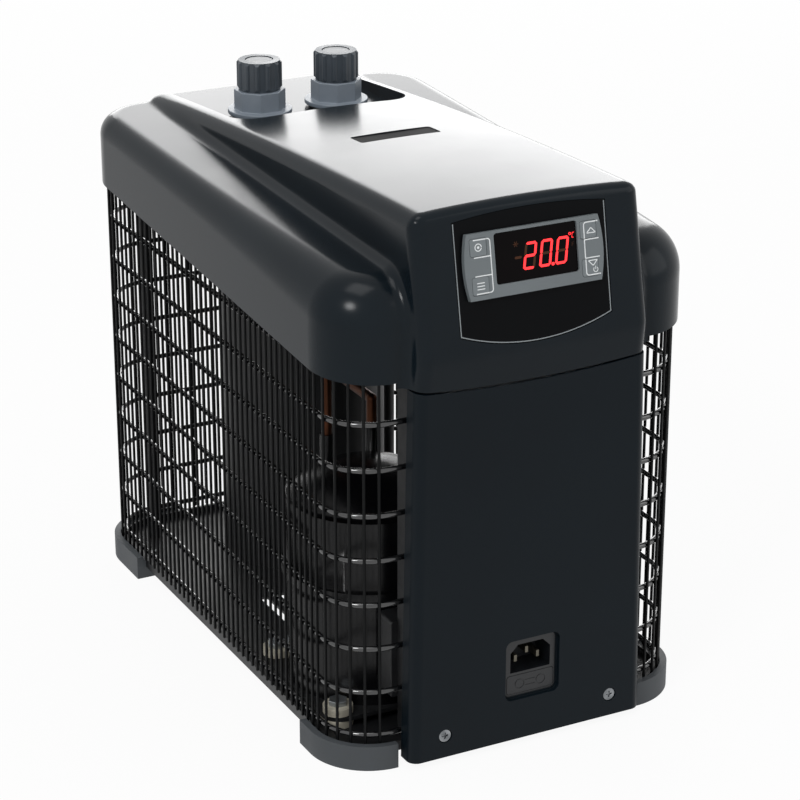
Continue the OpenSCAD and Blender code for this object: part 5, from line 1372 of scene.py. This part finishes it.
@dataclass
class Works:
    """What is seen through the cage: cooling circuit, fan, tank and electrics."""

    fin_pitch: float = 2.1
    fin_t: float = 0.25
    fin_fold: float = 0.7
    fold_count: int = 8

    def fin_tree(self) -> Tree:
        """Geometry nodes: one fin repeated along the condenser."""
        tree, entry = new_group("condenser fins", {"Fin Count": "Int", "Fin Pitch": "Float"})
        offset = add_node(tree, "ShaderNodeCombineXYZ", {"Y": entry["Fin Pitch"]})
        row = {"Count": entry["Fin Count"], "Offset": offset}
        places = add_node(tree, "GeometryNodeMeshLine", row)
        return end_group(tree, entry["Finish"], places, entry["Geometry"])

    def fins(self) -> None:
        """Makes the condenser's stack of folded fins."""
        low, high = (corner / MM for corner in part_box("condenser_fins"))
        front = []
        for i in range(self.fold_count + 1):
            x = low.x + (high.x - low.x) * i / self.fold_count
            front.append((x, low.y + (self.fin_fold if i % 2 else 0.0)))
        back = [(x, y + self.fin_t) for x, y in front]
        fin = prism("fin", front + back[::-1], low.z, high.z)
        room = high.y - low.y - self.fin_t - self.fin_fold
        count = int(room / self.fin_pitch) + 1
        values = {
            "Fin Count": count,
            "Fin Pitch": room / (count - 1) * MM,
            "Finish": FIN_ALUMINIUM.build(),
        }
        mesh = grown(fin, self.fin_tree(), values)
        piece = new_piece("condenser_fin_stack", mesh, FIN_ALUMINIUM, "condenser_fins")
        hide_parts("condenser_fins")

    def build(self) -> None:
        """Dresses or remakes the inner pieces."""
        refined(CAN_ENAMEL, 0.0, "compressor_can")
        refined(GROMMET, 0.4, "compressor_grommets")
        refined(TRAY_COAT, 0.2, "compressor_plate")
        refined(ZINC, 0.3, "compressor_bolts")
        refined(DARK_PP, 0.5, "terminal_cover")
        # Copper in a dull brown, darkened as painted shade
        refined(COPPER_IN_PAINTED_SHADE, 0.0, "condenser_tube", "refrigerant_lines", "filter_drier")
        self.fins()
        # Shroud and bracket near black, partly painted shade
        refined(DARK_SHEET_AND_PAINTED_SHADE, 0.0, "fan_shroud", "motor_bracket")
        refined(MOTOR_ENAMEL, 0.4, "fan_motor")
        refined(DARK_PP, 0.0, "fan_rotor")
        refined(TANK_PP, 0.0, "tank")
        refined(TANK_PP, 0.4, "tank_lid")
        dress(TITANIUM, "evaporator_coil")
        dress(BOARD_FR4, "power_board")
        dress(SHEATH, "wiring")


def seen(tree: Tree) -> Node:
    """Adds a factor that is 1 for rays from the camera, from a reflection or through glass."""
    path = add_node(tree, "ShaderNodeLightPath").outputs
    share = path["Is Camera Ray"]
    for kind in ("Is Glossy Ray", "Is Transmission Ray"):
        share = add_node(tree, "ShaderNodeMath", {0: share, 1: path[kind]}, operation="MAXIMUM")
    return share


@dataclass(frozen=True)
class Lamp:
    """A soft light: its place and size in metres, its power in watts."""

    name: str
    place: tuple[float, float, float]
    aim_h: float
    width: float
    height: float
    power: float
    shape: str = "RECTANGLE"

    def build(self) -> None:
        """Adds the light, turned to a point over the object's middle."""
        data = bpy.data.lights.new(self.name, "AREA")
        data.shape = self.shape
        data.size = self.width
        data.size_y = self.height
        data.energy = self.power
        item = link(self.name, data)
        item.location = self.place
        towards = Vector((0, 0, self.aim_h)) - Vector(self.place)
        item.rotation_euler = towards.to_track_quat("-Z", "Y").to_euler()


@dataclass
class Studio:
    """Camera, floor, soft light and a white surround."""

    lens: float = 118.63
    sensor_w: float = 36.0
    place: tuple = (-654.81, -1286.37, 713.82)
    towards: tuple = (0.4283, 0.8248, -0.3689)
    surround: float = 0.4
    far: float = 50.0
    floor_reach: float = 6.0
    floor_share: float = 0.93
    floor_grey: float = 0.85
    lamps: tuple = (
        Lamp("rear box", (1.3, 2.5, 0.95), 0.3, 2.1, 1.3, 32.0),
        Lamp("key disc", (-1.9, -1.3, 2.1), 0.15, 0.7, 0.7, 30.0, "ELLIPSE"),
        Lamp("fill box", (1.9, -1.5, 1.3), 0.15, 1.8, 1.8, 12.0),
        Lamp("top box", (-0.4, -0.2, 2.8), 0.2, 1.2, 1.2, 14.0),
    )

    def build(self) -> None:
        """Makes the camera, the floor, the world and the lamps."""
        data = bpy.data.cameras.new("camera")
        data.lens = self.lens
        data.sensor_width = self.sensor_w
        data.clip_end = self.far
        camera = link("camera", data)
        camera.location = Vector(self.place) * MM
        camera.rotation_euler = Vector(self.towards).to_track_quat("-Z", "Y").to_euler()
        bpy.context.scene.camera = camera
        bpy.context.scene.view_settings.view_transform = "Standard"
        self.floor()
        self.world()
        for lamp in self.lamps:
            lamp.build()

    def floor(self) -> None:
        """A white floor that shows white to the camera and keeps the shadow."""
        material = bpy.data.materials.new("floor")
        tree = emptied(material)
        factors = {0: seen(tree), 1: self.floor_share}
        share = add_node(tree, "ShaderNodeMath", factors, operation="MULTIPLY")
        matt = add_node(tree, "ShaderNodeBsdfDiffuse", {"Color": (*[self.floor_grey] * 3, 1)})
        glow = add_node(tree, "ShaderNodeEmission", {"Color": (1, 1, 1, 1), "Strength": 1.0})
        mix = add_node(tree, "ShaderNodeMixShader", {0: share, 1: matt, 2: glow})
        add_node(tree, "ShaderNodeOutputMaterial", {"Surface": mix})
        mesh = bpy.data.meshes.new("floor")
        reach = self.floor_reach
        corners = [(-reach, -reach, 0), (reach, -reach, 0), (reach, reach, 0), (-reach, reach, 0)]
        mesh.from_pydata(corners, [], [(0, 1, 2, 3)])
        mesh.materials.append(material)
        link("floor", mesh)

    def world(self) -> None:
        """White to the camera and in reflections, soft grey as a light."""
        world = bpy.data.worlds.new("surround")
        bpy.context.scene.world = world
        tree = emptied(world)
        power = ramp(tree, seen(tree), 0.0, 1.0, self.surround, 1.0)
        light = add_node(tree, "ShaderNodeBackground", {"Color": (1, 1, 1, 1), "Strength": power})
        add_node(tree, "ShaderNodeOutputWorld", {"Surface": light})


def main() -> None:
    """Builds every sub-assembly in order."""
    logging.basicConfig(level=logging.INFO)
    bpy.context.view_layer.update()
    steps = [
        ("studio", Studio()),
        ("case", Case()),
        ("hood", Hood(HoodShape())),
        ("fascia", Fascia()),
        ("controller", Controller()),
        ("unions", Unions()),
        ("cage", Cage()),
        ("works", Works()),
    ]
    for name, step in steps:
        step.build()
        log.info("built %s", name)


if __name__ == "__main__":
    main()
